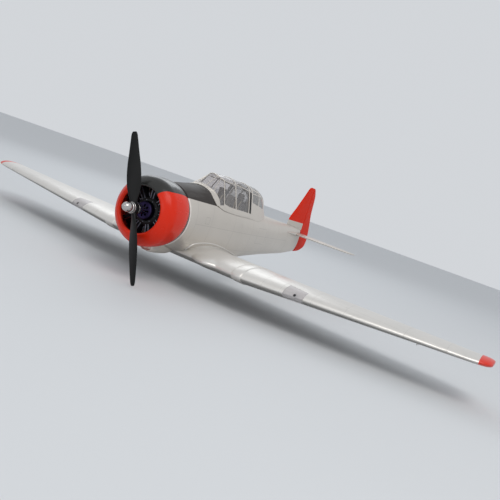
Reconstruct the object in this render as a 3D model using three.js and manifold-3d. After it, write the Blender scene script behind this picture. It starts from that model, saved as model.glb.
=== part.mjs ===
// Radio-controlled foam model of a radial-engined two-seat training aeroplane.
// Frame: millimetres, +X towards the nose, +Y towards the left wing tip, +Z up.
// Origin: centre of the flat belly pad under the wing centre section.
import * as THREE from 'three';
import { mergeVertices } from 'three/addons/utils/BufferGeometryUtils.js';
import Module from 'manifold-3d';

const wasm = await Module();
wasm.setup();

// ---------- driving dimensions ----------
const K = 82;                 // millimetres of model for one metre of the full-size type
const S_ORIGIN = 2.60;        // station of the origin, metres aft of the propeller plane
const THRUST_Z = 63.1;        // height of the thrust line above the belly pad
const GAP = 0.3;              // clearance between neighbouring pieces
const FOAM = 5.5;             // wall of the moulded foam fuselage
const PROP_DIAMETER = 229;    // 9 inch two-blade propeller
const PROP_PHASE = -21.7;     // degrees, blade turned from upright towards the right wing
const AILERON_ARM = 14.0;       // lever length of aileron servo arm and horn
const TAIL_ARM = 12;          // lever length of rudder and elevator arms and horns
const HINGE_S = 8.05;         // station of the rudder and elevator hinge lines
const STAB_Z = 0.268;         // height of the tailplane, metres of the full-size type
const JOINT_Y = 1.70;         // wing panel joint

// ---------- coordinates: s metres aft of the propeller, y and z in metres of the full-size type ----------
const X = s => (S_ORIGIN - s) * K;
const Y = y => y * K;
const Z = z => THRUST_Z + z * K;
const P = (s, y, z) => [X(s), Y(y), Z(z)];

// ---------- solids ----------
function solidFrom(positions, triangles) {
  let g = new THREE.BufferGeometry();
  g.setAttribute('position', new THREE.Float32BufferAttribute(positions.flat(), 3));
  g.setIndex(triangles.flat());
  g = mergeVertices(g, 1e-3);
  const idx = g.index.array, pos = g.attributes.position.array;
  const keep = [];
  let vol = 0;
  for (let i = 0; i < idx.length; i += 3) {
    const [a, b, c] = [idx[i], idx[i + 1], idx[i + 2]];
    if (a === b || b === c || a === c) continue;
    keep.push([a, b, c]);
    const p = k => [pos[3 * k], pos[3 * k + 1], pos[3 * k + 2]];
    const [pa, pb, pc] = [p(a), p(b), p(c)];
    vol += pa[0] * (pb[1] * pc[2] - pb[2] * pc[1]) - pa[1] * (pb[0] * pc[2] - pb[2] * pc[0]) + pa[2] * (pb[0] * pc[1] - pb[1] * pc[0]);
  }
  const tri = (vol < 0 ? keep.map(t => [t[0], t[2], t[1]]) : keep).flat();
  return new wasm.Manifold(new wasm.Mesh({ numProp: 3, vertProperties: new Float32Array(pos), triVerts: new Uint32Array(tri) }));
}
function fromGeometry(geo, matrix) {
  const g = geo.clone();
  if (matrix) g.applyMatrix4(matrix);
  const pos = g.attributes.position.array, pts = [], tris = [];
  for (let i = 0; i < pos.length; i += 3) pts.push([pos[i], pos[i + 1], pos[i + 2]]);
  const idx = g.index ? g.index.array : pts.map((_, i) => i);
  for (let i = 0; i < idx.length; i += 3) tris.push([idx[i], idx[i + 1], idx[i + 2]]);
  return solidFrom(pts, tris);
}
function box(x0, x1, y0, y1, z0, z1, matrix) {
  const g = new THREE.BoxGeometry(Math.abs(x1 - x0), Math.abs(y1 - y0), Math.abs(z1 - z0));
  g.translate((x0 + x1) / 2, (y0 + y1) / 2, (z0 + z1) / 2);
  return fromGeometry(g, matrix);
}
// cylinder between two points
function rod(a, b, r, n = 12, r2 = r) {
  const va = new THREE.Vector3(...a), vb = new THREE.Vector3(...b), d = vb.clone().sub(va), len = d.length();
  const g = new THREE.CylinderGeometry(r2, r, len, n);
  const m = new THREE.Matrix4().compose(va.clone().add(vb).multiplyScalar(0.5),
    new THREE.Quaternion().setFromUnitVectors(new THREE.Vector3(0, 1, 0), d.normalize()), new THREE.Vector3(1, 1, 1));
  return fromGeometry(g, m);
}
function capTriangles(ring, base) {
  const n = new THREE.Vector3();
  for (let i = 0; i < ring.length; i++) {
    const a = ring[i], b = ring[(i + 1) % ring.length];
    n.x += (a[1] - b[1]) * (a[2] + b[2]); n.y += (a[2] - b[2]) * (a[0] + b[0]); n.z += (a[0] - b[0]) * (a[1] + b[1]);
  }
  const ax = [Math.abs(n.x), Math.abs(n.y), Math.abs(n.z)], k = ax.indexOf(Math.max(...ax));
  const flat = ring.map(p => k === 0 ? new THREE.Vector2(p[1], p[2]) : k === 1 ? new THREE.Vector2(p[2], p[0]) : new THREE.Vector2(p[0], p[1]));
  const positive = n.getComponent(k) > 0;
  return THREE.ShapeUtils.triangulateShape(flat, []).map(t => {
    const s = THREE.ShapeUtils.area([flat[t[0]], flat[t[1]], flat[t[2]]]) > 0;
    const q = s === positive ? t : [t[0], t[2], t[1]];
    return q.map(i => i + base);
  });
}
// skin through closed rings of equal point count, with flat ends
function loft(rings) {
  const n = rings[0].length, pts = rings.flat(), tris = [];
  for (let i = 0; i + 1 < rings.length; i++) for (let j = 0; j < n; j++) {
    const a = i * n + j, b = i * n + (j + 1) % n, c = a + n, d = b + n;
    tris.push([a, b, d], [a, d, c]);
  }
  // the ends: first ring faces back, last ring faces on
  const first = capTriangles(rings[0], 0).map(t => [t[0], t[2], t[1]]);
  const last = capTriangles(rings[rings.length - 1], (rings.length - 1) * n);
  return solidFrom(pts, [...tris, ...first, ...last]);
}
// polygon in the X-Z plane, drawn out from y0 to y1
const prismY = (poly, y0, y1) => loft([poly.map(p => [p[0], y0, p[1]]), poly.map(p => [p[0], y1, p[1]])]);
// body turned about a line parallel to X: profile of [x, radius], closed on the axis or on itself
function turned(profile, n = 32, cy = 0, cz = THRUST_Z, shift = () => 0) {
  const closed = profile[0][1] > 0;
  const pts = [], ids = [];
  for (const [x, r] of profile) {
    if (r <= 0) { ids.push([pts.length]); pts.push([x, cy, cz + shift(x)]); continue; }
    const row = [];
    for (let j = 0; j < n; j++) {
      const t = 2 * Math.PI * (j + 0.5) / n;
      row.push(pts.length); pts.push([x, cy + r * Math.sin(t), cz + shift(x) + r * Math.cos(t)]);
    }
    ids.push(row);
  }
  const tris = [], m = ids.length;
  for (let i = 0; i < (closed ? m : m - 1); i++) {
    const A = ids[i], B = ids[(i + 1) % m];
    for (let j = 0; j < n; j++) {
      const k = (j + 1) % n;
      if (A.length === 1 && B.length === 1) continue;
      if (A.length === 1) tris.push([A[0], B[k], B[j]]);
      else if (B.length === 1) tris.push([A[j], A[k], B[0]]);
      else tris.push([A[j], A[k], B[k]], [A[j], B[k], B[j]]);
    }
  }
  return solidFrom(pts, tris);
}
const union = (...l) => l.flat().reduce((a, b) => a.add(b));
const group = new THREE.Group();
const MATERIALS = {
  silver: [0xb9b6b2, 0.45, 0.25], red: [0xc8361f, 0.45, 0.0], black: [0x262626, 0.5, 0.0], dark: [0x4a4644, 0.7, 0.0],
  metal: [0xb8bcc0, 0.28, 0.95], carbon: [0x1b1c1e, 0.45, 0.1], ply: [0xc49a63, 0.8, 0.0], clear: [0xe6eef0, 0.08, 0.0],
  servo: [0x23313f, 0.4, 0.0], white: [0xe9e6df, 0.5, 0.0], seat: [0x33312f, 0.75, 0.0], wrap: [0x2b3a8c, 0.4, 0.0], strap: [0x1a1a1a, 0.9, 0.0],
};
function add(name, man, mat) {
  const parts = man.decompose().sort((a, b) => b.volume() - a.volume());
  const solid = parts[0];
  const mesh = solid.getMesh();
  const g = new THREE.BufferGeometry();
  g.setAttribute('position', new THREE.BufferAttribute(new Float32Array(mesh.vertProperties), 3));
  g.setIndex(new THREE.BufferAttribute(new Uint32Array(mesh.triVerts), 1));
  g.computeVertexNormals();
  const [color, roughness, metalness] = MATERIALS[mat];
  const material = new THREE.MeshStandardMaterial({ color, roughness, metalness, flatShading: true });
  if (mat === 'clear') { material.transparent = true; material.opacity = 0.3; }
  const out = new THREE.Mesh(g, material);
  out.name = name;
  group.add(out);
  return solid;
}
const lerp = (a, b, t) => a + (b - a) * t;
function table(rows, s) {
  if (s <= rows[0][0]) return rows[0].slice(1);
  for (let i = 0; i + 1 < rows.length; i++) if (s <= rows[i + 1][0]) {
    const t = (s - rows[i][0]) / (rows[i + 1][0] - rows[i][0]);
    return rows[i].slice(1).map((v, k) => lerp(v, rows[i + 1][k + 1], t));
  }
  return rows[rows.length - 1].slice(1);
}

// ---------- fuselage shape: station, half width, top, bottom, height of greatest width, roundness ----------
const FUSELAGE = [
  [0.96, 0.585, 0.625, -0.565, 0.03, 2.05],
  [1.25, 0.575, 0.680, -0.620, 0.03, 2.20],
  [1.55, 0.560, 0.715, -0.665, 0.03, 2.35],
  [1.90, 0.545, 0.755, -0.705, 0.04, 2.50],
  [2.30, 0.535, 0.745, -0.735, 0.04, 2.50],
  [2.90, 0.530, 0.710, -0.745, 0.04, 2.50],
  [3.50, 0.510, 0.660, -0.725, 0.04, 2.45],
  [4.10, 0.480, 0.610, -0.660, 0.04, 2.40],
  [4.72, 0.430, 0.560, -0.585, 0.04, 2.35],
  [5.20, 0.385, 0.525, -0.540, 0.04, 2.30],
  [5.74, 0.330, 0.500, -0.490, 0.04, 2.30],
  [6.40, 0.262, 0.478, -0.440, 0.04, 2.25],
  [7.10, 0.192, 0.460, -0.385, 0.05, 2.20],
  [7.60, 0.140, 0.445, -0.320, 0.06, 2.20],
  [8.00, 0.092, 0.430, -0.262, 0.07, 2.20],
];
const RING = 28;
function fuselageRing(s, inset = 0) {
  const [w, zt, zb, zm, n] = table(FUSELAGE, s), i = inset / K;
  const out = [];
  for (let j = 0; j < RING; j++) {
    const t = 2 * Math.PI * (j + 0.5) / RING, c = Math.cos(t), q = Math.sin(t), e = 2 / n;
    const y = Math.sign(c) * Math.abs(c) ** e * (w - i);
    const z = zm + (q > 0 ? (zt - zm - i) : (zm - zb - i)) * Math.sign(q) * Math.abs(q) ** e;
    out.push(P(s, y, z));
  }
  return out;
}
const fuselageOuter = loft(FUSELAGE.map(r => fuselageRing(r[0])));
const innerStations = [0.90, 1.55, 1.9, 2.3, 2.9, 3.5, 4.1, 4.72, 5.2, 5.74, 6.4, 7.1, 7.55];
const fuselageInner = loft(innerStations.map(s => {
  const r = fuselageRing(Math.max(s, 0.96), s > 7 ? 4.2 : FOAM);
  return s < 0.96 ? r.map(p => [X(s), p[1], p[2]]) : r;
}));

// ---------- wing shape ----------
// section in chord fractions: flat belly between 14% and 70% of the chord
const SECTION = [
  [1.000, 0.004], [0.900, 0.0235], [0.780, 0.0455], [0.620, 0.0720], [0.460, 0.0900], [0.320, 0.0960], [0.200, 0.0880],
  [0.110, 0.0700], [0.050, 0.0480], [0.015, 0.0255], [0.000, 0.0000], [0.015, -0.0200], [0.050, -0.0370], [0.140, -0.0560],
  [0.400, -0.0560], [0.700, -0.0560], [0.850, -0.0420], [1.000, -0.0120],
];
// station y, leading edge s, leading edge z, chord, thickness factor
const WING = [
  [0.00, 1.545, -0.635, 2.40, 1.0],
  [1.70, 1.545, -0.635, 2.40, 1.0],
  [6.00, 2.460, -0.498, 1.29, 0.84],
  [6.16, 2.520, -0.487, 1.18, 0.80],
  [6.28, 2.610, -0.477, 1.00, 0.76],
  [6.36, 2.740, -0.468, 0.72, 0.70],
  [6.395, 2.880, -0.462, 0.40, 0.60],
];
// the belly flat lies level: z = -0.77 at the root
const BELLY = -0.77;
function offsetRing(pts, d) {
  if (!d) return pts;
  const n = pts.length;
  let area = 0;
  for (let i = 0; i < n; i++) { const a = pts[i], b = pts[(i + 1) % n]; area += a[0] * b[1] - b[0] * a[1]; }
  const sg = area > 0 ? 1 : -1;
  return pts.map((p, i) => {
    const a = pts[(i + n - 1) % n], b = pts[(i + 1) % n];
    const n1 = [p[1] - a[1], -(p[0] - a[0])], n2 = [b[1] - p[1], -(b[0] - p[0])];
    const l1 = Math.hypot(...n1) || 1, l2 = Math.hypot(...n2) || 1;
    let nx = n1[0] / l1 + n2[0] / l2, ny = n1[1] / l1 + n2[1] / l2;
    const l = Math.hypot(nx, ny) || 1;
    nx /= l; ny /= l;
    return [p[0] + sg * nx * d, p[1] + sg * ny * d];
  });
}
// one wing section as millimetre points [x, z]; grow moves the outline outwards
function wingPoly(y, grow = 0) {
  const [s0, z0, c, k] = table(WING, Math.abs(y));
  const pts = SECTION.map(([u, v]) => [X(s0 + u * c), Z(z0 + v * c * k)]);
  return offsetRing(pts, grow);
}
const wingRing = (y, grow = 0, at = y) => wingPoly(y, grow).map(p => [p[0], Y(at), p[1]]);
const tipRows = [6.00, 6.16, 6.28, 6.36, 6.395];
function outerWing(side, grow = 0, from = JOINT_Y + GAP / K) {
  const ys = [from, ...tipRows];
  return loft(ys.map(y => wingRing(y, grow).map(p => [p[0], side * p[1], p[2]])));
}
// ruling on the upper skin at a chord fraction
function skinPoint(y, u, upper = true) {
  const [s0, z0, c, k] = table(WING, y);
  const rows = SECTION.slice(0, 11).slice().reverse();
  const low = SECTION.slice(10);
  const list = upper ? rows : low;
  for (let i = 0; i + 1 < list.length; i++) if (u >= list[i][0] && u <= list[i + 1][0]) {
    const t = (u - list[i][0]) / (list[i + 1][0] - list[i][0]);
    return P(s0 + u * c, y, z0 + lerp(list[i][1], list[i + 1][1], t) * c * k);
  }
}

// ---------- wing centre section ----------
const centreHalf = JOINT_Y * K;
let wingCentre = loft([wingRing(-JOINT_Y), wingRing(JOINT_Y)]);
// wheel fairings moulded on the leading edge next to the fuselage
for (const side of [-1, 1]) {
  const c = P(1.86, side * 0.86, -0.628);
  const g = new THREE.SphereGeometry(1, 20, 12);
  const m = new THREE.Matrix4().compose(new THREE.Vector3(...c), new THREE.Quaternion(), new THREE.Vector3(37, 31, 10.2));
  wingCentre = wingCentre.add(fromGeometry(g, m));
}
const wingCentreClear = (() => {
  let w = loft([wingRing(-JOINT_Y, GAP), wingRing(JOINT_Y, GAP)]);
  for (const side of [-1, 1]) {
    const m = new THREE.Matrix4().compose(new THREE.Vector3(...P(1.86, side * 0.86, -0.628)), new THREE.Quaternion(), new THREE.Vector3(37 + GAP, 31 + GAP, 10.2 + GAP));
    w = w.add(fromGeometry(new THREE.SphereGeometry(1, 20, 12), m));
  }
  return w;
})();
// spar tube through both panels
const SPAR_S = 2.42, SPAR_R = 3.0;
const sparZ = Z(-0.585);
const spar = rod([X(SPAR_S), -2.9 * K, sparZ], [X(SPAR_S), 2.9 * K, sparZ], SPAR_R, 16);
const sparHole = rod([X(SPAR_S), -2.9 * K - 0.5, sparZ], [X(SPAR_S), 2.9 * K + 0.5, sparZ], SPAR_R + GAP, 16);
add('wing_centre_section', wingCentre.subtract(sparHole), 'silver');
add('wing_spar_tube', spar, 'carbon');

// ---------- outer wings, ailerons and their linkages ----------
const AIL_Y0 = 3.75, AIL_Y1 = 5.95, AIL_U = 0.765, HINGE_DROP = 0.6;
const LAMP_Y0 = 2.57, LAMP_Y1 = 2.97, LAMP_DEPTH = 0.26;
for (const side of [1, -1]) {
  const name = side > 0 ? 'left' : 'right';
  const m0 = skinPoint(AIL_Y0, AIL_U), m1 = skinPoint(AIL_Y1, AIL_U);
  const a = new THREE.Vector3(m0[0], side * m0[1], m0[2] - HINGE_DROP), b = new THREE.Vector3(m1[0], side * m1[1], m1[2] - HINGE_DROP);
  // hinge frame: e1 towards the left, e2 aft, e3 up
  const e1 = b.clone().sub(a).normalize().multiplyScalar(side);
  const e2 = new THREE.Vector3(-1, 0, 0); e2.addScaledVector(e1, -e2.dot(e1)).normalize();
  const e3 = new THREE.Vector3().crossVectors(e2, e1).normalize();
  if (e3.z < 0) e3.negate();
  const mid = a.clone().add(b).multiplyScalar(0.5), half = a.distanceTo(b) / 2;
  const to = (u, v, w) => mid.clone().addScaledVector(e1, u).addScaledVector(e2, v).addScaledVector(e3, w).toArray();
  const prism = (poly, u0, u1) => loft([poly.map(([v, w]) => to(u0, v, w)), poly.map(([v, w]) => to(u1, v, w))]);
  // aileron: bevelled below the hinge line so that it can drop; flush on top
  const T = Math.tan(25 * Math.PI / 180);
  const ailCut = prism([[0.15, 6], [0.15, 0], [0.15 + 14 * T, -14], [60, -14], [60, 6]], -half + 0.25, half - 0.25);
  const bayCut = prism([[-0.15, 6], [-0.15, -14], [60, -14], [60, 6]], -half - 0.25, half + 0.25);
  const wing = outerWing(side);
  const aileron = wing.intersect(ailCut);
  let panel = wing.subtract(bayCut);
  // landing light in the leading edge
  const lampBox = (g, depth) => box(X(0.8), X(table(WING, 2.77)[0] + depth), side * (Y(LAMP_Y0) + g), side * (Y(LAMP_Y1) - g), Z(-1), Z(0));
  const lens = wing.intersect(lampBox(GAP, LAMP_DEPTH - 0.006)).subtract(loft([2.3, 3.3].map(y => wingRing(y, -1.3).map(p => [p[0], side * p[1], p[2]]))));
  panel = panel.subtract(lampBox(0, LAMP_DEPTH));
  const lampC = [X(table(WING, 2.77)[0] + 0.225), side * Y(2.77), Z(-0.600)];
  const lampDir = [lampC[0] + 6, lampC[1], lampC[2]];
  const lamp = rod([X(table(WING, 2.77)[0] + LAMP_DEPTH) + GAP, lampC[1], lampC[2]], lampDir, 3.2, 16, 5.2);
  panel = panel.subtract(sparHole);
  // servo let into the lower skin, its output shaft parallel to the hinge line
  const servoU = 0;                             // half way along the aileron
  const su = servoU;
  const hornW = -AILERON_ARM;                   // rod hole of the horn, below the hinge line
  const arm = { v: -36, w: -3.2 };              // servo shaft ahead of and below the hinge line
  const endW = arm.w - AILERON_ARM;             // free end of the servo arm
  const sv = [arm.v - 6, arm.v + 17], sw = [arm.w - 6, arm.w + 6];
  const servoPoly = [[sv[0], sw[0]], [sv[1], sw[0]], [sv[1], sw[1]], [sv[0], sw[1]]];
  const s0 = su - 11.5, s1 = su + 11.5;
  const servo = prism(servoPoly, s0, s1);
  const well = prism(servoPoly.map(([v, w]) => [v + Math.sign(v - (arm.v + 5.5)) * GAP, w + (w > arm.w ? GAP : -8)]), s0 - GAP, s1 + 3.2);
  panel = panel.subtract(well);
  const u1 = s1 + 1.4;                          // plane of arm, rod and horn
  // arm: shaft plus lever
  const armSolid = prism([[arm.v - 2.6, arm.w + 2.4], [arm.v + 2.6, arm.w + 2.4], [arm.v + 1.6, endW - 1.4], [arm.v - 1.6, endW - 1.4]], u1 - 1.0, u1 + 0.3);
  const rodR = 0.8;
  const horn = prism([[4.0, -5.8], [13.5, -5.1], [1.9, hornW - 1.6], [-1.6, hornW - 1.6], [-1.6, hornW + 1.1], [1.6, hornW + 2.4]], u1 - 1.0, u1 + 0.3);
  panel = panel.subtract(prism([[-8.5, -30], [-8.5, -9.6], [0.5, -8.0], [0.5, -30]], u1 - 1.8, u1 + 3.2));
  const pushrod = (() => {
    const pA = to(u1 + 1.5, arm.v, endW), pB = to(u1 + 1.5, 0.3, hornW);
    const body = rod(pA, pB, rodR, 8);
    return body;
  })();
  add(name + '_outer_wing', panel, 'silver');
  add(name + '_landing_light_lens', lens, 'clear');
  add(name + '_landing_lamp', lamp, 'metal');
  // the horn's foot is let into the aileron
  const hornFoot = prism([[4.0, -9], [13.5, -9], [13.5, -1], [4.0, -1]], u1 - 1.0, u1 + 0.3);
  const hornSolid = union(horn, hornFoot.intersect(prism([[4.0, -9], [13.5, -9], [13.5, -1.4], [4.0, -1.4]], u1 - 1.0, u1 + 0.3)));
  const hornClear = prism([[1.4, -24], [13.5 + GAP, -24], [13.5 + GAP, -1.4 + GAP], [4.0 - GAP, -1.4 + GAP], [1.4, -6]], u1 - 1.0 - GAP, u1 + 0.3 + GAP);
  add(name + '_aileron', aileron.subtract(hornClear), 'silver');
  add(name + '_aileron_horn', hornSolid, 'white');
  add(name + '_aileron_servo', servo, 'servo');
  add(name + '_aileron_servo_arm', armSolid, 'white');
  add(name + '_aileron_pushrod', pushrod, 'metal');
}


// ---------- fuselage halves ----------
const SILL = [[1.86, 0.471], [2.02, 0.471], [2.37, 0.402], [2.94, 0.381], [3.59, 0.380], [4.35, 0.366], [5.10, 0.50]];
const sillZ = s => table(SILL, s)[0];
const PLAN = [[1.88, 0.30], [1.893, 0.41], [2.012, 0.476], [2.012, 0.72], [5.10, 0.72]];
const planPoly = [...PLAN, ...PLAN.slice().reverse().map(([s, y]) => [s, -y])];
const cockpitCut = prismY([...SILL.map(([s, z]) => [X(s), Z(z)]), [X(5.10), Z(1.3)], [X(1.86), Z(1.3)]], -60, 60)
  .intersect(loft([Z(0.2), Z(1.4)].map(z => planPoly.map(([s, y]) => [X(s), Y(y), z]))));
let shell = fuselageOuter.subtract(fuselageInner).subtract(cockpitCut).subtract(wingCentreClear);
// tailplane slot, open at the back
const STAB_T = 3.4;           // half thickness of the tailplane root
shell = shell.subtract(box(X(7.30), X(8.2), -30, 30, Z(STAB_Z) - STAB_T - GAP, Z(STAB_Z) + STAB_T + GAP));
// slots where the two tail pushrods leave the right side
const elevLine = [P(4.62, -0.135, STAB_Z - TAIL_ARM / K), P(HINGE_S, -0.27, STAB_Z - TAIL_ARM / K)];
const RUD_Z = -0.03;
const rudLine = [P(4.50, -TAIL_ARM / K, RUD_Z), P(HINGE_S, -TAIL_ARM / K, RUD_Z)];
const slotTube = (l, r) => {
  return rod(l[0], l[1], r, 10);
};
const eRod = [[elevLine[0][0], elevLine[0][1] - 0.4, elevLine[0][2]], [X(HINGE_S) + 0.4, elevLine[1][1] + 2.0, elevLine[1][2]]];
shell = shell.subtract(slotTube(eRod, 2.8)).subtract(box(X(6.7), X(8.05), -TAIL_ARM - 6, -TAIL_ARM + 3.6, Z(RUD_Z) - 0.9, Z(RUD_Z) + 4.6));
const halfBox = side => box(-600, 400, side * GAP / 2, side * 80, -60, 220);
add('fuselage_left_half', shell.intersect(halfBox(1)), 'silver');
add('fuselage_right_half', shell.intersect(halfBox(-1)), 'silver');

// ---------- nose: cowl, dummy engine, motor, propeller ----------
const COWL_RAISE = x => 0.03 * K * Math.min(1, Math.max(0, (X(0.40) - x) / (X(0.40) - X(0.93))));
const cowlProfile = [
  [0.215, 0.430], [0.180, 0.448], [0.165, 0.475], [0.180, 0.515], [0.225, 0.575], [0.290, 0.630], [0.380, 0.664], [0.480, 0.669], [0.650, 0.664],
  [0.800, 0.645], [0.930, 0.610], [0.930, 0.592], [0.790, 0.622], [0.640, 0.640], [0.480, 0.645], [0.385, 0.638], [0.305, 0.604], [0.250, 0.550], [0.225, 0.490],
];
const cowlBody = turned(cowlProfile.map(([s, r]) => [X(s), r * K]), 40, 0, THRUST_Z, COWL_RAISE);
// chin air scoop under the cowl and the belly
const SCOOP = [[0.74, 0.13, -0.585, -0.735], [0.80, 0.155, -0.57, -0.758], [1.00, 0.165, -0.55, -0.768], [1.25, 0.16, -0.55, -0.760], [1.50, 0.12, -0.55, -0.722], [1.62, 0.07, -0.60, -0.690]];
const scoopRing = (s, d = 0) => {
  const [w, zt, zb] = table(SCOOP, s);
  const h = (zt - zb), out = [], k = w - d / K, b = zb + d / K;
  for (let j = 0; j <= 10; j++) { const t = Math.PI * j / 10; out.push(P(s, k * Math.cos(t), lerp(zb + h * 0.42, b, Math.sin(t)))); }
  out.push(P(s, -k, zt), P(s, k, zt));
  return out;
};
const scoopSolid = loft(SCOOP.map(r => scoopRing(r[0])));
const scoopMouth = loft([[0.70, 0.80], [0.96, 0.96]].map(([s, t]) => scoopRing(t, 1.8).map(p => [X(s), p[1], p[2] - 0.4])));
const cowlGrown = turned([[X(0.15), 0], [X(0.165), 0.478 * K], [X(0.225), 0.580 * K], [X(0.290), 0.634 * K], [X(0.380), 0.668 * K], [X(0.480), 0.6735 * K], [X(0.650), 0.6685 * K], [X(0.800), 0.6500 * K], [X(0.935), 0.6150 * K], [X(0.935), 0]], 40, 0, THRUST_Z, COWL_RAISE);
const fuselageGrown = loft(FUSELAGE.slice(0, 5).map(r => fuselageRing(r[0], -GAP)).map((r, i) => i ? r : r.map(p => [p[0] + GAP, p[1], p[2]])));
add('cowl', cowlBody, 'red');
add('chin_scoop', scoopSolid.subtract(scoopMouth).subtract(cowlGrown).subtract(fuselageGrown).subtract(wingCentreClear), 'silver');
// firewall and motor mount
const ringX = (s, r, h, n = 32) => rod([X(s) , 0, THRUST_Z], [X(s) + h, 0, THRUST_Z], r, n);
const innerNose = fuselageRing(0.96, FOAM + 0.9);
let firewall = loft([innerNose.map(p => [X(1.06), p[1], p[2]]), innerNose.map(p => [X(1.06) + 3, p[1], p[2]])]);
firewall = firewall.subtract(rod([X(1.1), 14, THRUST_Z - 18], [X(1.0), 14, THRUST_Z - 18], 5, 12));
add('firewall', firewall, 'ply');
const mountX = X(1.06) + 3 + GAP;
let motorMount = rod([mountX, 0, THRUST_Z], [mountX + 14, 0, THRUST_Z], 11, 20).subtract(rod([mountX - 1, 0, THRUST_Z], [mountX + 11, 0, THRUST_Z], 8.5, 20));
for (const q of [0.25, 0.75, 1.25, 1.75]) {
  const m = new THREE.Matrix4().makeTranslation(0, 0, THRUST_Z).multiply(new THREE.Matrix4().makeRotationX(Math.PI * q));
  motorMount = motorMount.add(box(mountX, mountX + 2.4, -3.5, 3.5, 9, 21, m));
}
add('motor_mount', motorMount, 'black');
const motX = mountX + 14 + GAP;                         // back face of the motor
const motorBase = union(rod([motX, 0, THRUST_Z], [motX + 3.2, 0, THRUST_Z], 11.5, 24), rod([motX, 0, THRUST_Z], [motX + 13, 0, THRUST_Z], 6.5, 20));
add('motor_base', motorBase.subtract(rod([motX - 1, 0, THRUST_Z], [motX + 14, 0, THRUST_Z], 2.4, 16)), 'metal');
const bellX0 = motX + 3.6, bellX1 = X(0.300);
const bell = turned([[bellX0, 12.6], [bellX0, 14.0], [bellX1 - 1.5, 14.0], [bellX1, 11.5], [bellX1, 2.4], [bellX1 - 2.4, 2.4], [bellX1 - 2.4, 10.4], [bellX1 - 3.6, 12.6]], 28);
add('motor_bell', bell, 'metal');
const hubX0 = X(0.052), hubX1 = X(-0.052);             // rear and front faces of the propeller hub
const adapter = turned([[motX + 1.5, 0], [motX + 1.5, 2.0], [bellX1 + GAP, 2.0], [bellX1 + GAP, 6.5], [bellX1 + 7, 6.5], [hubX0 - GAP - 2.5, 8.2], [hubX0 - GAP, 8.2], [hubX0 - GAP, 2.9], [hubX1 + 9.0, 2.9], [hubX1 + 9.0, 0]], 24);
add('propeller_adapter', adapter, 'metal');
// two-blade propeller
const R = PROP_DIAMETER / 2;
const BLADE = [[5, 8.0, 7.0, 38], [14, 10.5, 5.8, 34], [22, 14.0, 4.3, 31], [34, 18.6, 3.2, 27], [48, 21.0, 2.7, 22.5], [64, 20.0, 2.3, 18.5], [82, 16.0, 1.9, 15], [98, 12.0, 1.5, 12.5], [109, 8.8, 1.2, 11.5], [R, 6.2, 1.0, 11]];
const bladeRing = ([r, c, t, deg], dir) => {
  const out = [], n = 12, a = deg * Math.PI / 180;
  for (let j = 0; j < n; j++) {
    const q = 2 * Math.PI * j / n, u = Math.cos(q) * c / 2, v = Math.sin(q) * t / 2 * (1 - 0.25 * Math.cos(q));
    // u along the chord, v through the thickness; the blade meets the air with its leading edge forward
    const tang = u * Math.cos(a) + v * Math.sin(a), ax = -u * Math.sin(a) + v * Math.cos(a);
    out.push([ax, dir * tang, dir * r]);
  }
  return out;
};
const phase = new THREE.Matrix4().makeTranslation(0, 0, THRUST_Z).multiply(new THREE.Matrix4().makeRotationX(-PROP_PHASE * Math.PI / 180));
const turn = pts => pts.map(p => new THREE.Vector3(...p).applyMatrix4(phase).toArray());
const hub = rod([hubX0, 0, THRUST_Z], [hubX1, 0, THRUST_Z], 8.6, 24);
let propeller = hub;
for (const dir of [1, -1]) propeller = propeller.add(loft(BLADE.map(b => turn(bladeRing(b, dir)).map(p => [p[0] + (hubX0 + hubX1) / 2, p[1], p[2]]))));
propeller = propeller.subtract(rod([hubX0 - 1, 0, THRUST_Z], [hubX1 + 1, 0, THRUST_Z], 2.9 + GAP, 20));
add('propeller', propeller, 'black');
add('propeller_washer', turned([[hubX1 + GAP, 3.2], [hubX1 + GAP, 8.5], [hubX1 + GAP + 1.8, 8.5], [hubX1 + GAP + 1.8, 3.2]], 24), 'metal');
const nx = hubX1 + GAP + 1.8 + GAP;
add('spinner_nut', turned([[nx, 3.2], [nx, 7.4], [nx + 1.0, 7.9], [nx + 3.2, 7.9], [nx + 4.0, 7.0], [nx + 5.0, 7.0], [nx + 5.8, 7.7], [nx + 10.0, 7.4], [nx + 13.5, 6.2], [nx + 16.2, 4.2], [nx + 17.8, 2.0], [nx + 18.4, 0], [nx + 8.4, 0], [nx + 8.4, 3.2]], 24), 'metal');
// dummy nine-cylinder radial around the motor, fixed to the firewall side of the cowl
const engX0 = X(0.62), engX1 = X(0.40);
let dummy = turned([[engX0, 15.2], [engX0, 24.0], [engX1 - 3, 22.0], [engX1, 18.5], [engX1, 15.2]], 27);
for (let i = 0; i < 9; i++) {
  const t = 2 * Math.PI * i / 9;
  const d = [0, Math.sin(t), Math.cos(t)], at = r => [(engX0 + engX1) / 2 - 1, d[1] * r, THRUST_Z + d[2] * r];
  dummy = dummy.add(rod(at(20), at(43), 7.0, 10, 7.4)).add(rod(at(43), at(48.5), 6.2, 8, 4.6));
}
add('dummy_radial_engine', dummy, 'black');

// ---------- tail ----------
const TAIL = Math.tan(28 * Math.PI / 180);
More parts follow.
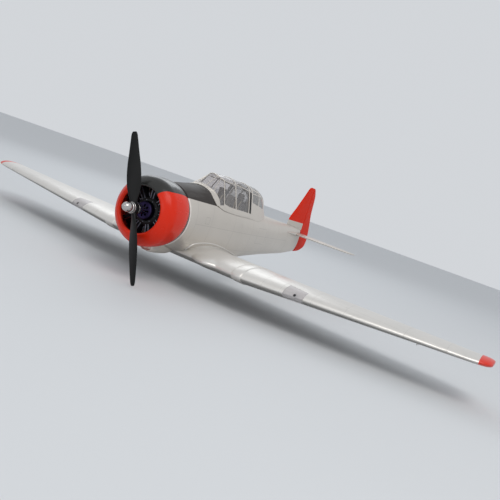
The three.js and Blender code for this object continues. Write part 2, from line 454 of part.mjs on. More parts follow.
// flat aerofoil section for the tail, half thickness t; u runs from 0 at the nose to 1 at the tail
const SYM = [[1, 0.10], [0.75, 0.62], [0.45, 0.98], [0.22, 0.92], [0.07, 0.60], [0.0, 0.0]];
const symRing = (s0, c, t) => [...SYM.map(([u, v]) => [s0 + u * c, v * t]), ...SYM.slice(0, -1).reverse().map(([u, v]) => [s0 + u * c, -v * t])];
const STAB = [[0.00, 7.36, 1.30, STAB_T], [0.35, 7.42, 1.25, STAB_T * 0.97], [1.50, 7.64, 0.86, STAB_T * 0.72], [1.68, 7.70, 0.72, STAB_T * 0.62], [1.77, 7.79, 0.54, STAB_T * 0.5], [1.802, 7.92, 0.30, STAB_T * 0.36]];
const tailHalf = side => loft(STAB.map(([y, s0, c, t]) => symRing(s0, c, t).map(([s, v]) => [X(s), side * Y(y), Z(STAB_Z) + v])));
const tailWhole = loft([...STAB.slice(1).reverse().map(r => [-r[0], ...r.slice(1)]), ...STAB].map(([y, s0, c, t]) => symRing(s0, c, t).map(([s, v]) => [X(s), Y(y), Z(STAB_Z) + v])));
const hx = X(HINGE_S);
// V-shaped nose of a control surface with its hinge in the middle of its thickness, in (aft, thickness) terms
const vee = (g, h, back) => [[g, 0], [g + h * TAIL, h], [back, h], [back, -h], [g + h * TAIL, -h]];
const veePrismY = (g, y0, y1) => loft([y0, y1].map(y => vee(g, 8, 70).map(([u, v]) => [hx - u, y, Z(STAB_Z) + v])));
const stabCut = box(hx + 0.25, hx - 80, -200, 200, 0, 200);
add('stabiliser', tailWhole.subtract(stabCut), 'silver');
const joinerR = 1.0;
for (const side of [1, -1]) {
  // the inner edge slopes away to clear the rudder at full travel
  const innerEdge = loft([Z(STAB_Z) - 20, Z(STAB_Z) + 20].map(z => [[hx + 5, side * Y(0.10), z], [hx - 1, side * Y(0.10), z], [hx - 60, side * Y(0.51), z], [hx - 60, side * Y(2), z], [hx + 5, side * Y(2), z]]));
  let e = tailHalf(side).intersect(veePrismY(0.25, side * 2, side * 160)).intersect(innerEdge);
  e = e.subtract(rod([hx - 1.4, -24, Z(STAB_Z)], [hx - 1.4, 24, Z(STAB_Z)], joinerR + GAP, 12));
  if (side < 0) e = e.subtract(box(hx - 1.6, hx - 11 - GAP, Y(-0.27) - 0.7 - GAP, Y(-0.27) + 0.7 + GAP, Z(STAB_Z) - 10, Z(STAB_Z) - 0.9));
  add((side > 0 ? 'left' : 'right') + '_elevator', e, 'silver');
}
add('elevator_joiner', rod([hx - 1.4, -24 + GAP, Z(STAB_Z)], [hx - 1.4, 24 - GAP, Z(STAB_Z)], joinerR, 10), 'metal');
const eLeverZ = Z(STAB_Z) - TAIL_ARM, eY = Y(-0.27);
const horn2 = loft([eY - 0.7, eY + 0.7].map(y => [[hx - 2.5, y, Z(STAB_Z) - 1.2], [hx - 11, y, Z(STAB_Z) - 1.2], [hx - 11, y, Z(STAB_Z) - 4.4], [hx - 1.8, y, eLeverZ - 1.6], [hx + 1.7, y, eLeverZ - 1.6], [hx + 0.6, y, Z(STAB_Z) - 6.5], [hx - 2.5, y, Z(STAB_Z) - 4.6]]));
add('elevator_horn', horn2, 'white');

// fin and rudder: outlines in (s, z)
const FIN = [[6.98, 0.40], [7.00, 0.60], [7.72, 1.615], [7.84, 1.672], [HINGE_S, 1.680], [HINGE_S, 0.40]];
const RUDDER = [[HINGE_S, 1.680], [8.16, 1.672], [8.235, 1.60], [8.345, 1.46], [8.50, 0.95], [8.68, 0.60], [8.80, 0.35], [8.865, 0.15], [8.86, 0.02], [8.78, -0.09], [8.60, -0.175], [8.20, -0.250], [HINGE_S, -0.255]];
// half thickness of fin and rudder by height
const finHalf = z => table([[-0.3, 6.0], [0.45, 4.0], [1.0, 3.2], [1.68, 1.5]], z)[0];
// fin as stacked sections
const finRows = [0.40, 0.60, 1.00, 1.40, 1.615, 1.672].map(z => {
  const le = table([[0.40, 6.98], [0.60, 7.00], [1.615, 7.72], [1.672, 7.84]], z)[0];
  return [z, le];
});
const finSolid = loft(finRows.map(([z, le]) => {
  const t = finHalf(z), c = HINGE_S - 0.006 - le;
  return [[1, t], [0.6, t], [0.3, t * 0.88], [0.1, t * 0.55], [0, 0], [0.1, -t * 0.55], [0.3, -t * 0.88], [0.6, -t], [1, -t]].map(([u, v]) => [X(le + u * c), v, Z(z)]);
}));
add('fin', finSolid.subtract(loft(FUSELAGE.slice(-4).map((r, i, l) => fuselageRing(r[0] + (i === 3 ? 0.06 : 0), -GAP)))).subtract(box(X(7.2), X(8.3), -10, 10, Z(0.30), Z(STAB_Z) + STAB_T + GAP)), 'red');
const rudRows = [-0.255, -0.17, -0.06, 0.10, 0.35, 0.60, 0.95, 1.46, 1.60, 1.676];
const teAt = z => table([[-0.255, 8.18], [-0.17, 8.62], [-0.06, 8.82], [0.10, 8.867], [0.35, 8.80], [0.60, 8.68], [0.95, 8.50], [1.46, 8.345], [1.60, 8.235], [1.676, 8.14]], z)[0];
let rudder = loft(rudRows.map(z => {
  const c = teAt(z) - HINGE_S, t = z < 0.45 ? lerp(5.2, 4.0, (z + 0.255) / 0.7) * (z < -0.2 ? 0.75 : 1) : finHalf(z), m = Math.min(t, c * K * 0.5);
  return [[1, m * 0.12], [0.6, m * 0.55], [0.25, m * 0.9], [0, m], [0, -m], [0.25, -m * 0.9], [0.6, -m * 0.55], [1, -m * 0.12]].map(([u, v]) => [X(HINGE_S + u * c), v, Z(z)]);
}));
const rudderVee = loft([Z(-0.4), Z(1.8)].map(z => vee(0.25, 8, 80).map(([u, v]) => [hx - u, v, z])));
rudder = rudder.intersect(rudderVee);
rudder = rudder.subtract(rod([hx, 0, Z(STAB_Z) - 5.0], [hx, 0, Z(STAB_Z) + 5.0], 8.0, 20));
const rz = Z(RUD_Z);
rudder = rudder.subtract(box(hx - 2.6, hx - 12 - GAP, -9, -0.9, rz - 0.7 - GAP, rz + 0.7 + GAP));
add('rudder', rudder, 'red');
const rHorn = loft([rz - 0.7, rz + 0.7].map(z => [[hx - 3.6, -1.3, z], [hx - 12, -1.3, z], [hx - 12, -5.6, z], [hx - 1.9, -TAIL_ARM - 1.6, z], [hx + 1.7, -TAIL_ARM - 1.6, z], [hx + 1.0, -8.6, z], [hx - 3.6, -5.2, z]]));
add('rudder_horn', rHorn, 'white');

// ---------- radio gear ----------
const eServoX = elevLine[0][0], rServoX = rudLine[0][0];
const eRodY0 = elevLine[0][1], eServoZ = Z(STAB_Z);
add('elevator_servo', box(eServoX - 17, eServoX + 6, eRodY0 + 2.6, eRodY0 + 2.6 + 24, eServoZ - 6, eServoZ + 6), 'servo');
add('elevator_servo_arm', loft([eRodY0 + 0.9, eRodY0 + 2.2].map(y => [[eServoX - 2.6, y, eServoZ + 2.4], [eServoX + 2.6, y, eServoZ + 2.4], [eServoX + 1.7, y, eServoZ - TAIL_ARM - 1.6], [eServoX - 1.7, y, eServoZ - TAIL_ARM - 1.6]])), 'white');
add('rudder_servo', box(rServoX - 17, rServoX + 6, -6, 6, rz - 1.1 - 25, rz - 1.1), 'servo');
add('rudder_servo_arm', loft([rz - 0.7, rz + 0.7].map(z => [[rServoX - 2.6, 2.4, z], [rServoX + 2.6, 2.4, z], [rServoX + 1.7, -TAIL_ARM - 1.6, z], [rServoX - 1.7, -TAIL_ARM - 1.6, z]])), 'white');
// pushrods run from the arm to just short of the horn, beside both
const eDir = new THREE.Vector3(...elevLine[1]).sub(new THREE.Vector3(...elevLine[0])).normalize();
add('elevator_pushrod', rod(eRod[0], eRod[1], 0.8, 8), 'metal');
add('rudder_pushrod', rod([rServoX, -TAIL_ARM, rz + 1.9], [hx + 0.4, -TAIL_ARM, rz + 1.9], 0.8, 8), 'metal');
// plywood servo tray on the hull floor
const trayZ = rz - 1.1 - 25 - GAP;
const tray = union(box(rServoX - 24, rServoX + 14, -17, 17, trayZ - 2.4, trayZ), box(eServoX - 20, eServoX + 9, eRodY0 + 2.6 + 24 + GAP, eRodY0 + 2.6 + 24 + GAP + 2.4, trayZ - 1, eServoZ + 7));
add('servo_tray', tray, 'ply');
// battery, tray, strap, speed controller, receiver
const bat = [X(2.62), X(1.42), -17, 17, 34.9, 34.9 + 26];
add('battery_tray', box(bat[0] - 8, bat[1] + 8, -21, 21, bat[4] - GAP - 3 - 1.2, bat[4] - GAP - 1.2), 'ply');
add('battery', box(...bat), 'wrap');
const bx = (bat[0] + bat[1]) / 2;
add('battery_strap', box(bx - 9, bx + 9, bat[2] - 1.3, bat[3] + 1.3, bat[4] - 1.2 - 0, bat[5] + 1.3).subtract(box(bx - 10, bx + 10, bat[2] - GAP, bat[3] + GAP, bat[4] - GAP, bat[5] + GAP)), 'strap');
add('speed_controller', box(X(1.42), X(1.12), 4, 26, Z(0.05), Z(0.05) + 8), 'wrap');
add('receiver', box(X(3.55), X(3.10), -12, 12, Z(-0.42), Z(-0.42) + 11), 'servo');

// ---------- canopy hatch ----------
// half width of the fuselage at a station and height
function hullHalf(s, z) {
  const [w, zt, zb, zm, n] = table(FUSELAGE, s);
  const v = z > zm ? (z - zm) / (zt - zm) : (zm - z) / (zm - zb);
  return w * Math.max(0, 1 - Math.min(1, v) ** n) ** (1 / n);
}
// first rings of the canopy: rim on the deck, foot of the windshield, front hoop; each half ring runs from sill to ridge
const RIM = [[2.020, 0.474, 0.475], [1.900, 0.410, 0.584], [1.886, 0.300, 0.683], [1.886, 0.170, 0.735], [1.886, 0.080, 0.752], [1.886, 0.000, 0.755]];
const FOOT = [[2.160, 0.479, 0.450], [2.100, 0.415, 0.595], [2.020, 0.305, 0.698], [1.965, 0.200, 0.743], [1.940, 0.100, 0.770], [1.938, 0.000, 0.778]];
const HOOP = [[2.360, 0.482, 0.412], [2.400, 0.330, 0.760], [2.430, 0.200, 1.010], [2.370, 0.150, 1.032], [2.305, 0.100, 1.054], [2.285, 0.000, 1.082]];
// station, roof edge half width, roof edge height, ridge height
const CANOPY = [
  [2.60, 0.208, 1.005, 1.104], [2.95, 0.220, 1.010, 1.106],
  [3.55, 0.245, 0.980, 1.100], [4.20, 0.235, 0.930, 1.085], [4.60, 0.190, 0.850, 1.008], [4.92, 0.120, 0.690, 0.870], [5.07, 0.070, 0.545, 0.575],
];
const baseLift = GAP / K;
// a ring as half points [station, y, z]
function canopyHalf(s) {
  const [wr, zr, zt] = table(CANOPY, s), zb = sillZ(s) + baseLift, wb = Math.max(hullHalf(s, zb), wr + 0.01);
  return [[s, wb, zb], [s, lerp(wb, wr, 0.5) + 0.006, lerp(zb, zr, 0.5)], [s, wr, zr], [s, wr * 0.78, zr + (zt - zr) * 0.55], [s, wr * 0.42, zr + (zt - zr) * 0.9], [s, 0, zt]];
}
function canopyRing(half, grow = 0, drop = 0, aft = 0) {
  const all = [...half, ...half.slice(0, -1).reverse().map(([s, y, z]) => [s, -y, z])];
  const pts = all.map(([s, y, z]) => [Y(y), Z(z)]), n = pts.length;
  let off = offsetRing(pts, grow);
  // the two base points keep the sill height and move sideways only
  off[0] = [pts[0][0] + grow, pts[0][1]]; off[n - 1] = [pts[n - 1][0] - grow, pts[n - 1][1]];
  let xs = all.map(([s]) => X(s) - aft);
  if (drop) { off = [[off[0][0], off[0][1] - drop], ...off, [off[n - 1][0], off[n - 1][1] - drop]]; xs = [xs[0], ...xs, xs[n - 1]]; }
  return off.map(([y, z], i) => [xs[i], y, z]);
}
const FRONT = { rim: [RIM, FOOT, HOOP], foot: [FOOT, HOOP], hoop: [HOOP] };
const ringsFrom = (a, b) => {
  const front = FRONT[a] ?? [], from = FRONT[a] ? 2.45 : a;
  const mids = CANOPY.map(r => r[0]).filter(s => s > from + 0.004 && s < b - 0.004);
  return [...front, ...(FRONT[a] ? mids : [a, ...mids]).map(canopyHalf), canopyHalf(b)];
};
// filled body of the canopy from one ring to a station; front rings lean forward by the growth
const canopyBlob = (a, b, grow, drop = 0, aft = 0) => loft(ringsFrom(a, b).map((h, i) => canopyRing(h, grow, drop, i === 0 ? aft : 0)));
const GLASS_END = 3.78, SKIN = 1.2;
const glass = canopyBlob('foot', GLASS_END, 0).subtract(canopyBlob('foot', GLASS_END + 0.05, -SKIN, 20, -1.6));
const fairing = canopyBlob(GLASS_END + GAP / K, 5.07, 0).subtract(canopyBlob(GLASS_END - 0.05, 5.02, -SKIN, 20));
// silver frames moulded over the glazing: front rim, hoops, sill rail and roof rails
const frameSkin = canopyBlob('rim', GLASS_END, 1.1).subtract(canopyBlob('rim', GLASS_END + 0.05, GAP, 20, -1.5));
const sillBand = prismY([...[1.80, 2.02, 2.37, 2.94, 4.2].map(s => [X(s), Z(sillZ(s)) - 3]), ...[4.2, 2.94, 2.37, 2.02, 1.80].map(s => [X(s), Z(sillZ(s)) + 6.5])], -60, 60);
const hoop = (s, w) => box(X(s), X(s + w), -60, 60, Z(0.3), Z(1.3));
const hoopFront = loft([canopyRing(HOOP, 4, 6, 2), canopyRing(HOOP, 4, 6, -1.8)]);
const rimBlock = loft([canopyRing(RIM, 5, 12, -6), canopyRing(FOOT, 5, 12, 1.5)]);
const roofRails = union([1, -1].map(k => loft([2.2, 3.8].map(s => [[0.28, 0.93], [0.20, 0.93], [0.13, 1.10], [0.18, 1.12]].map(([y, z]) => [X(s), k * Y(y), Z(z)])))));
const frame = frameSkin.intersect(union(sillBand, hoop(2.40, 0.05), hoopFront, hoop(2.92, 0.04), hoop(3.62, 0.045), rimBlock, roofRails));
add('canopy_glazing', glass, 'clear');
add('canopy_frame', frame, 'silver');
add('canopy_rear_fairing', fairing, 'silver');
// cockpit tub hanging from a flange inside the canopy
const flangeTop = s => Z(sillZ(s)) + GAP + 1.6;
const fs = [2.02, 2.37, 2.94, 3.59, 4.35, 4.55];
const band = prismY([...fs.map(s => [X(s), Z(sillZ(s)) + GAP]), ...fs.slice().reverse().map(s => [X(s), flangeTop(s)])], -60, 60);
const below = prismY([...fs.map(s => [X(s), Z(0.0)]), ...fs.slice().reverse().map(s => [X(s), flangeTop(s)])], -60, 60);
const hullInside = d => loft([1.9, 2.3, 2.9, 3.5, 4.1, 4.72].map(s => fuselageRing(s, FOAM + d)));
// half width of the opening at the sill, inside the foam: the tub stays within it, so it lifts straight out
const laneHalf = (s, d) => {
  const [w, zt, , zm, n] = table(FUSELAGE, s), i = (FOAM + 0.6) / K, v = (sillZ(s) - zm) / (zt - i - zm);
  return (w - i) * Math.pow(1 - Math.pow(v, n), 1 / n) * K - 0.3 - d;
};
const laneS = [2.0, 2.3, 2.9, 3.5, 4.1, 4.4];
const lane = d => loft([40, 160].map(z => [...laneS.map(s => [X(s), laneHalf(s, d), z]), ...laneS.slice().reverse().map(s => [X(s), -laneHalf(s, d), z])]));
const tubBox = (d, z0) => box(X(2.09) - d, X(4.22) + d, -Y(0.36) + d, Y(0.36) - d, z0, Z(0.9)).intersect(hullInside(0.6 + d)).intersect(lane(d));
const inside = canopyBlob('foot', 4.55, -SKIN - 0.7, 20, 4);
const TUB_FLOOR = 0.12;
const tub = union(band.intersect(inside), tubBox(0, Z(TUB_FLOOR)).intersect(below)).subtract(tubBox(1.4, Z(TUB_FLOOR) + 1.4)).subtract(box(X(2.30), X(3.60), -Y(0.34), Y(0.34), Z(0.3), Z(0.6)));
add('cockpit_tub', tub, 'dark');
const floorZ = Z(TUB_FLOOR) + 1.4 + GAP;
const seat = (s, k) => union(
  box(X(s), X(s - 0.34), -15 * k, 15 * k, floorZ, floorZ + 7),
  loft([-15 * k, 15 * k].map(y => [[X(s) + 2, y, floorZ], [X(s) - 3, y, floorZ], [X(s + 0.09) - 3, y, Z(0.70)], [X(s + 0.09) + 2, y, Z(0.70)]])),
  box(X(s + 0.10) - 3, X(s + 0.10) + 3, -7, 7, Z(0.68), Z(0.86)));
add('front_seat', seat(2.78, 1), 'seat');
add('rear_seat', seat(3.72, 1), 'seat');
// instrument coaming under the windshield, with a panel face
const coaming = union(
  loft([2.20, 2.34].map(s => [[0.33, 0], [0.33, 0.52], [0.27, 0.62], [0.14, 0.69], [-0.14, 0.69], [-0.27, 0.62], [-0.33, 0.52], [-0.33, 0]].map(([y, z]) => [X(s), Y(y), z ? Z(z) : flangeTop(2.2) + GAP]))));
add('instrument_coaming', coaming, 'dark');
add('hatch_keeper_strip', box(X(4.34), X(4.42), -Y(0.30), Y(0.30), Z(0.345) - 2.4, Z(0.345)), 'ply');
add('hatch_magnet', rod([X(4.38), 0, Z(0.345) + GAP], [X(4.38), 0, Z(sillZ(4.37)) - GAP], 3.2, 16), 'metal');
export default group;
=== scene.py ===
import math
import bpy
import bmesh
import numpy as np
from mathutils import Matrix, Vector


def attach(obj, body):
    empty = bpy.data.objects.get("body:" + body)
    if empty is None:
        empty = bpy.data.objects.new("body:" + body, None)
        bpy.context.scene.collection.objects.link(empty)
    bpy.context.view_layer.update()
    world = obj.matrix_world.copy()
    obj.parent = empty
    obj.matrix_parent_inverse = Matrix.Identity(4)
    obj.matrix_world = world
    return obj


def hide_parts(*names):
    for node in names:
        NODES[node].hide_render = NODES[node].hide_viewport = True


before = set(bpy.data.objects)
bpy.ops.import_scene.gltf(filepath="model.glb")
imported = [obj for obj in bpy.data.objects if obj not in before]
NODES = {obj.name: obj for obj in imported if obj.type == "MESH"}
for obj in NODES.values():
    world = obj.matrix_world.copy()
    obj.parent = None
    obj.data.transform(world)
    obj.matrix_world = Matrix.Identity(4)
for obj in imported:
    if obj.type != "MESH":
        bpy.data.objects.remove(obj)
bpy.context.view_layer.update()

SCENE = bpy.context.scene

# ------------------------------------------------------------------ the shared frame: s, y, z in metres of the full-size type
K, S_ORIGIN, THRUST_Z = 82.0, 2.60, 63.1


def X(s):
    return (S_ORIGIN - s) * K


def Z(z):
    return THRUST_Z + z * K


def P(s, y, z):
    return np.array([X(s), y * K, Z(z)], float)


def pchip(rows, q):
    """Smooth values between the rows of a table, without overshoot."""
    rows = np.asarray(rows, float)
    x, y = rows[:, 0], rows[:, 1:]
    q = np.atleast_1d(np.asarray(q, float))
    h = np.diff(x)
    d = np.diff(y, axis=0) / h[:, None]
    m = np.zeros_like(y)
    for i in range(1, len(x) - 1):
        a, b = d[i - 1], d[i]
        w1, w2 = 2 * h[i] + h[i - 1], h[i] + 2 * h[i - 1]
        ok = (a * b) > 0
        m[i] = np.where(ok, (w1 + w2) / (w1 / np.where(ok, a, 1) + w2 / np.where(ok, b, 1)), 0)
    m[0], m[-1] = d[0], d[-1]
    k = np.clip(np.searchsorted(x, q, side="right") - 1, 0, len(x) - 2)
    t = np.clip((q - x[k]) / h[k], 0, 1)[:, None]
    hh = h[k][:, None]
    return ((2 * t**3 - 3 * t**2 + 1) * y[k] + (t**3 - 2 * t**2 + t) * hh * m[k]
            + (-2 * t**3 + 3 * t**2) * y[k + 1] + (t**3 - t**2) * hh * m[k + 1])


def catmull(points, per=8, closed=False):
    """Centripetal curve through the points, any number of coordinates."""
    p = np.asarray(points, float)
    n = len(p)
    out = []
    segs = n if closed else n - 1
    for i in range(segs):
        p1, p2 = p[i % n], p[(i + 1) % n]
        p0 = p[(i - 1) % n] if closed or i > 0 else 2 * p1 - p2
        p3 = p[(i + 2) % n] if closed or i + 2 < n else 2 * p2 - p1
        t = [0.0]
        for a, b in ((p0, p1), (p1, p2), (p2, p3)):
            t.append(t[-1] + max(np.linalg.norm(b - a), 1e-9) ** 0.5)
        for j in range(per):
            u = t[1] + (t[2] - t[1]) * j / per
            a1 = (t[1] - u) / (t[1] - t[0]) * p0 + (u - t[0]) / (t[1] - t[0]) * p1
            a2 = (t[2] - u) / (t[2] - t[1]) * p1 + (u - t[1]) / (t[2] - t[1]) * p2
            a3 = (t[3] - u) / (t[3] - t[2]) * p2 + (u - t[2]) / (t[3] - t[2]) * p3
            b1 = (t[2] - u) / (t[2] - t[0]) * a1 + (u - t[0]) / (t[2] - t[0]) * a2
            b2 = (t[3] - u) / (t[3] - t[1]) * a2 + (u - t[1]) / (t[3] - t[1]) * a3
            out.append((t[2] - u) / (t[2] - t[1]) * b1 + (u - t[1]) / (t[2] - t[1]) * b2)
    if not closed:
        out.append(p[-1])
    return np.array(out)


# ------------------------------------------------------------------ meshes, in millimetres of the shared frame
def make(name, verts, faces):
    me = bpy.data.meshes.new(name)
    me.from_pydata([tuple(v) for v in np.asarray(verts, float) * 0.001], [], [tuple(f) for f in faces])
    me.update()
    bm = bmesh.new()
    bm.from_mesh(me)
    bmesh.ops.remove_doubles(bm, verts=bm.verts, dist=1e-6)
    bmesh.ops.dissolve_degenerate(bm, dist=1e-7, edges=bm.edges)
    bmesh.ops.recalc_face_normals(bm, faces=bm.faces)
    bm.to_mesh(me)
    bm.free()
    o = bpy.data.objects.new(name, me)
    SCENE.collection.objects.link(o)
    return o


def loft_data(rings, caps=True, closed_path=False):
    n = len(rings[0])
    verts = np.concatenate([np.asarray(r, float) for r in rings])
    faces = []
    m = len(rings)
    for i in range(m if closed_path else m - 1):
        for j in range(n):
            a, b = i * n + j, i * n + (j + 1) % n
            c, d = ((i + 1) % m) * n + j, ((i + 1) % m) * n + (j + 1) % n
            faces.append((a, b, d, c))
    if caps and not closed_path:
        faces.append(tuple(range(n))[::-1])
        faces.append(tuple((m - 1) * n + j for j in range(n)))
    return verts, faces


def loft(name, rings, caps=True, closed_path=False):
    return make(name, *loft_data(rings, caps, closed_path))


def prism_y(name, poly, y0, y1):
    return loft(name, [[(x, y0, z) for x, z in poly], [(x, y1, z) for x, z in poly]])


def block(name, lo, hi):
    (x0, y0, z0), (x1, y1, z1) = lo, hi
    return loft(name, [[(x, y0, z0), (x, y1, z0), (x, y1, z1), (x, y0, z1)] for x in (x0, x1)])


def lathe_data(profile, n=96, axis="X", centre=(0, 0, THRUST_Z), shift=None, phase=0.0):
    """Profile of (along, radius); a closed profile if it never touches the axis."""
    closed = profile[0][1] > 1e-9
    verts, ids, faces = [], [], []
    for a, r in profile:
        dz = shift(a) if shift else 0.0
        row = []
        for j in range(n if r > 1e-9 else 1):
            t = 2 * math.pi * j / n + phase
            c, s = r * math.cos(t), r * math.sin(t)
            if axis == "X":
                v = (a, centre[1] + s, centre[2] + dz + c)
            elif axis == "Z":
                v = (centre[0] + c, centre[1] + s, a)
            else:
                v = (centre[0] + c, a, centre[2] + s)
            row.append(len(verts))
            verts.append(v)
        ids.append(row)
    m = len(ids)
    for i in range(m if closed else m - 1):
        A, B = ids[i], ids[(i + 1) % m]
        for j in range(n):
            k = (j + 1) % n
            if len(A) == 1 and len(B) == 1:
                continue
            if len(A) == 1:
                faces.append((A[0], B[j], B[k]))
            elif len(B) == 1:
                faces.append((A[j], B[0], A[k]))
            else:
                faces.append((A[j], B[j], B[k], A[k]))
    return np.array(verts), faces


def lathe(name, profile, **kw):
    return make(name, *lathe_data(profile, **kw))


def moved(data, matrix):
    v, f = data
    m = np.array(matrix, float)
    return v @ m[:3, :3].T + m[:3, 3], f


def merged(name, parts):
    verts, faces, base = [], [], 0
    for v, f in parts:
        verts.append(np.asarray(v, float))
        faces += [tuple(i + base for i in face) for face in f]
        base += len(v)
    return make(name, np.concatenate(verts), faces)


def tube_data(path, r, n=12, r_end=None):
    path = [Vector(p) for p in path]
    rings, side = [], None
    for i, p in enumerate(path):
        d = (path[min(i + 1, len(path) - 1)] - path[max(i - 1, 0)]).normalized()
        if side is None:
            side = d.orthogonal().normalized()
        side = (side - d * side.dot(d)).normalized()
        up = d.cross(side)
        rr = r if r_end is None else r + (r_end - r) * i / (len(path) - 1)
        rings.append([tuple(p + (side * math.cos(2 * math.pi * j / n) + up * math.sin(2 * math.pi * j / n)) * rr) for j in range(n)])
    return loft_data(rings)


def rounded_box_data(lo, hi, r, seg=3):
    """Box with rounded edges made from a bevelled mesh."""
    bm = bmesh.new()
    (x0, y0, z0), (x1, y1, z1) = lo, hi
    vs = [bm.verts.new((x, y, z)) for x in (x0, x1) for y in (y0, y1) for z in (z0, z1)]
    for q in ((0, 1, 3, 2), (4, 6, 7, 5), (0, 4, 5, 1), (2, 3, 7, 6), (0, 2, 6, 4), (1, 5, 7, 3)):
        bm.faces.new([vs[i] for i in q])
    bmesh.ops.bevel(bm, geom=list(bm.edges), offset=r, segments=seg, profile=0.5, affect="EDGES")
    bm.verts.index_update()
    out = np.array([tuple(v.co) for v in bm.verts]), [tuple(v.index for v in f.verts) for f in bm.faces]
    bm.free()
    return out


def boolean(o, *steps):
    """Applies (operation, cutter) steps and puts the result in place of the object's mesh; the cutters are left for the
    caller to remove.
    """
    for op, cutter in steps:
        m = o.modifiers.new("cut", "BOOLEAN")
        m.operation, m.object, m.solver = op, cutter, "EXACT"
    bpy.context.view_layer.update()
    dg = bpy.context.evaluated_depsgraph_get()
    me = bpy.data.meshes.new_from_object(o.evaluated_get(dg))
    o.modifiers.clear()
    old = o.data
    o.data = me
    me.name = o.name
    bpy.data.meshes.remove(old)
    return o


def gone(*objs):
    for o in objs:
        me = o.data
        bpy.data.objects.remove(o)
        if me.users == 0:
            bpy.data.meshes.remove(me)


def copy_of(o, name):
    c = o.copy()
    c.data = o.data.copy()
    c.name = name
    SCENE.collection.objects.link(c)
    return c


def done(o, body, mat, nodes=(), angle=32):
    o.data.shade_smooth()
    o.data.set_sharp_from_angle(angle=math.radians(angle))
    o.data.materials.clear()
    for m in (mat if isinstance(mat, (list, tuple)) else [mat]):
        o.data.materials.append(m)
    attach(o, body)
    if nodes:
        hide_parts(*nodes)
    return o


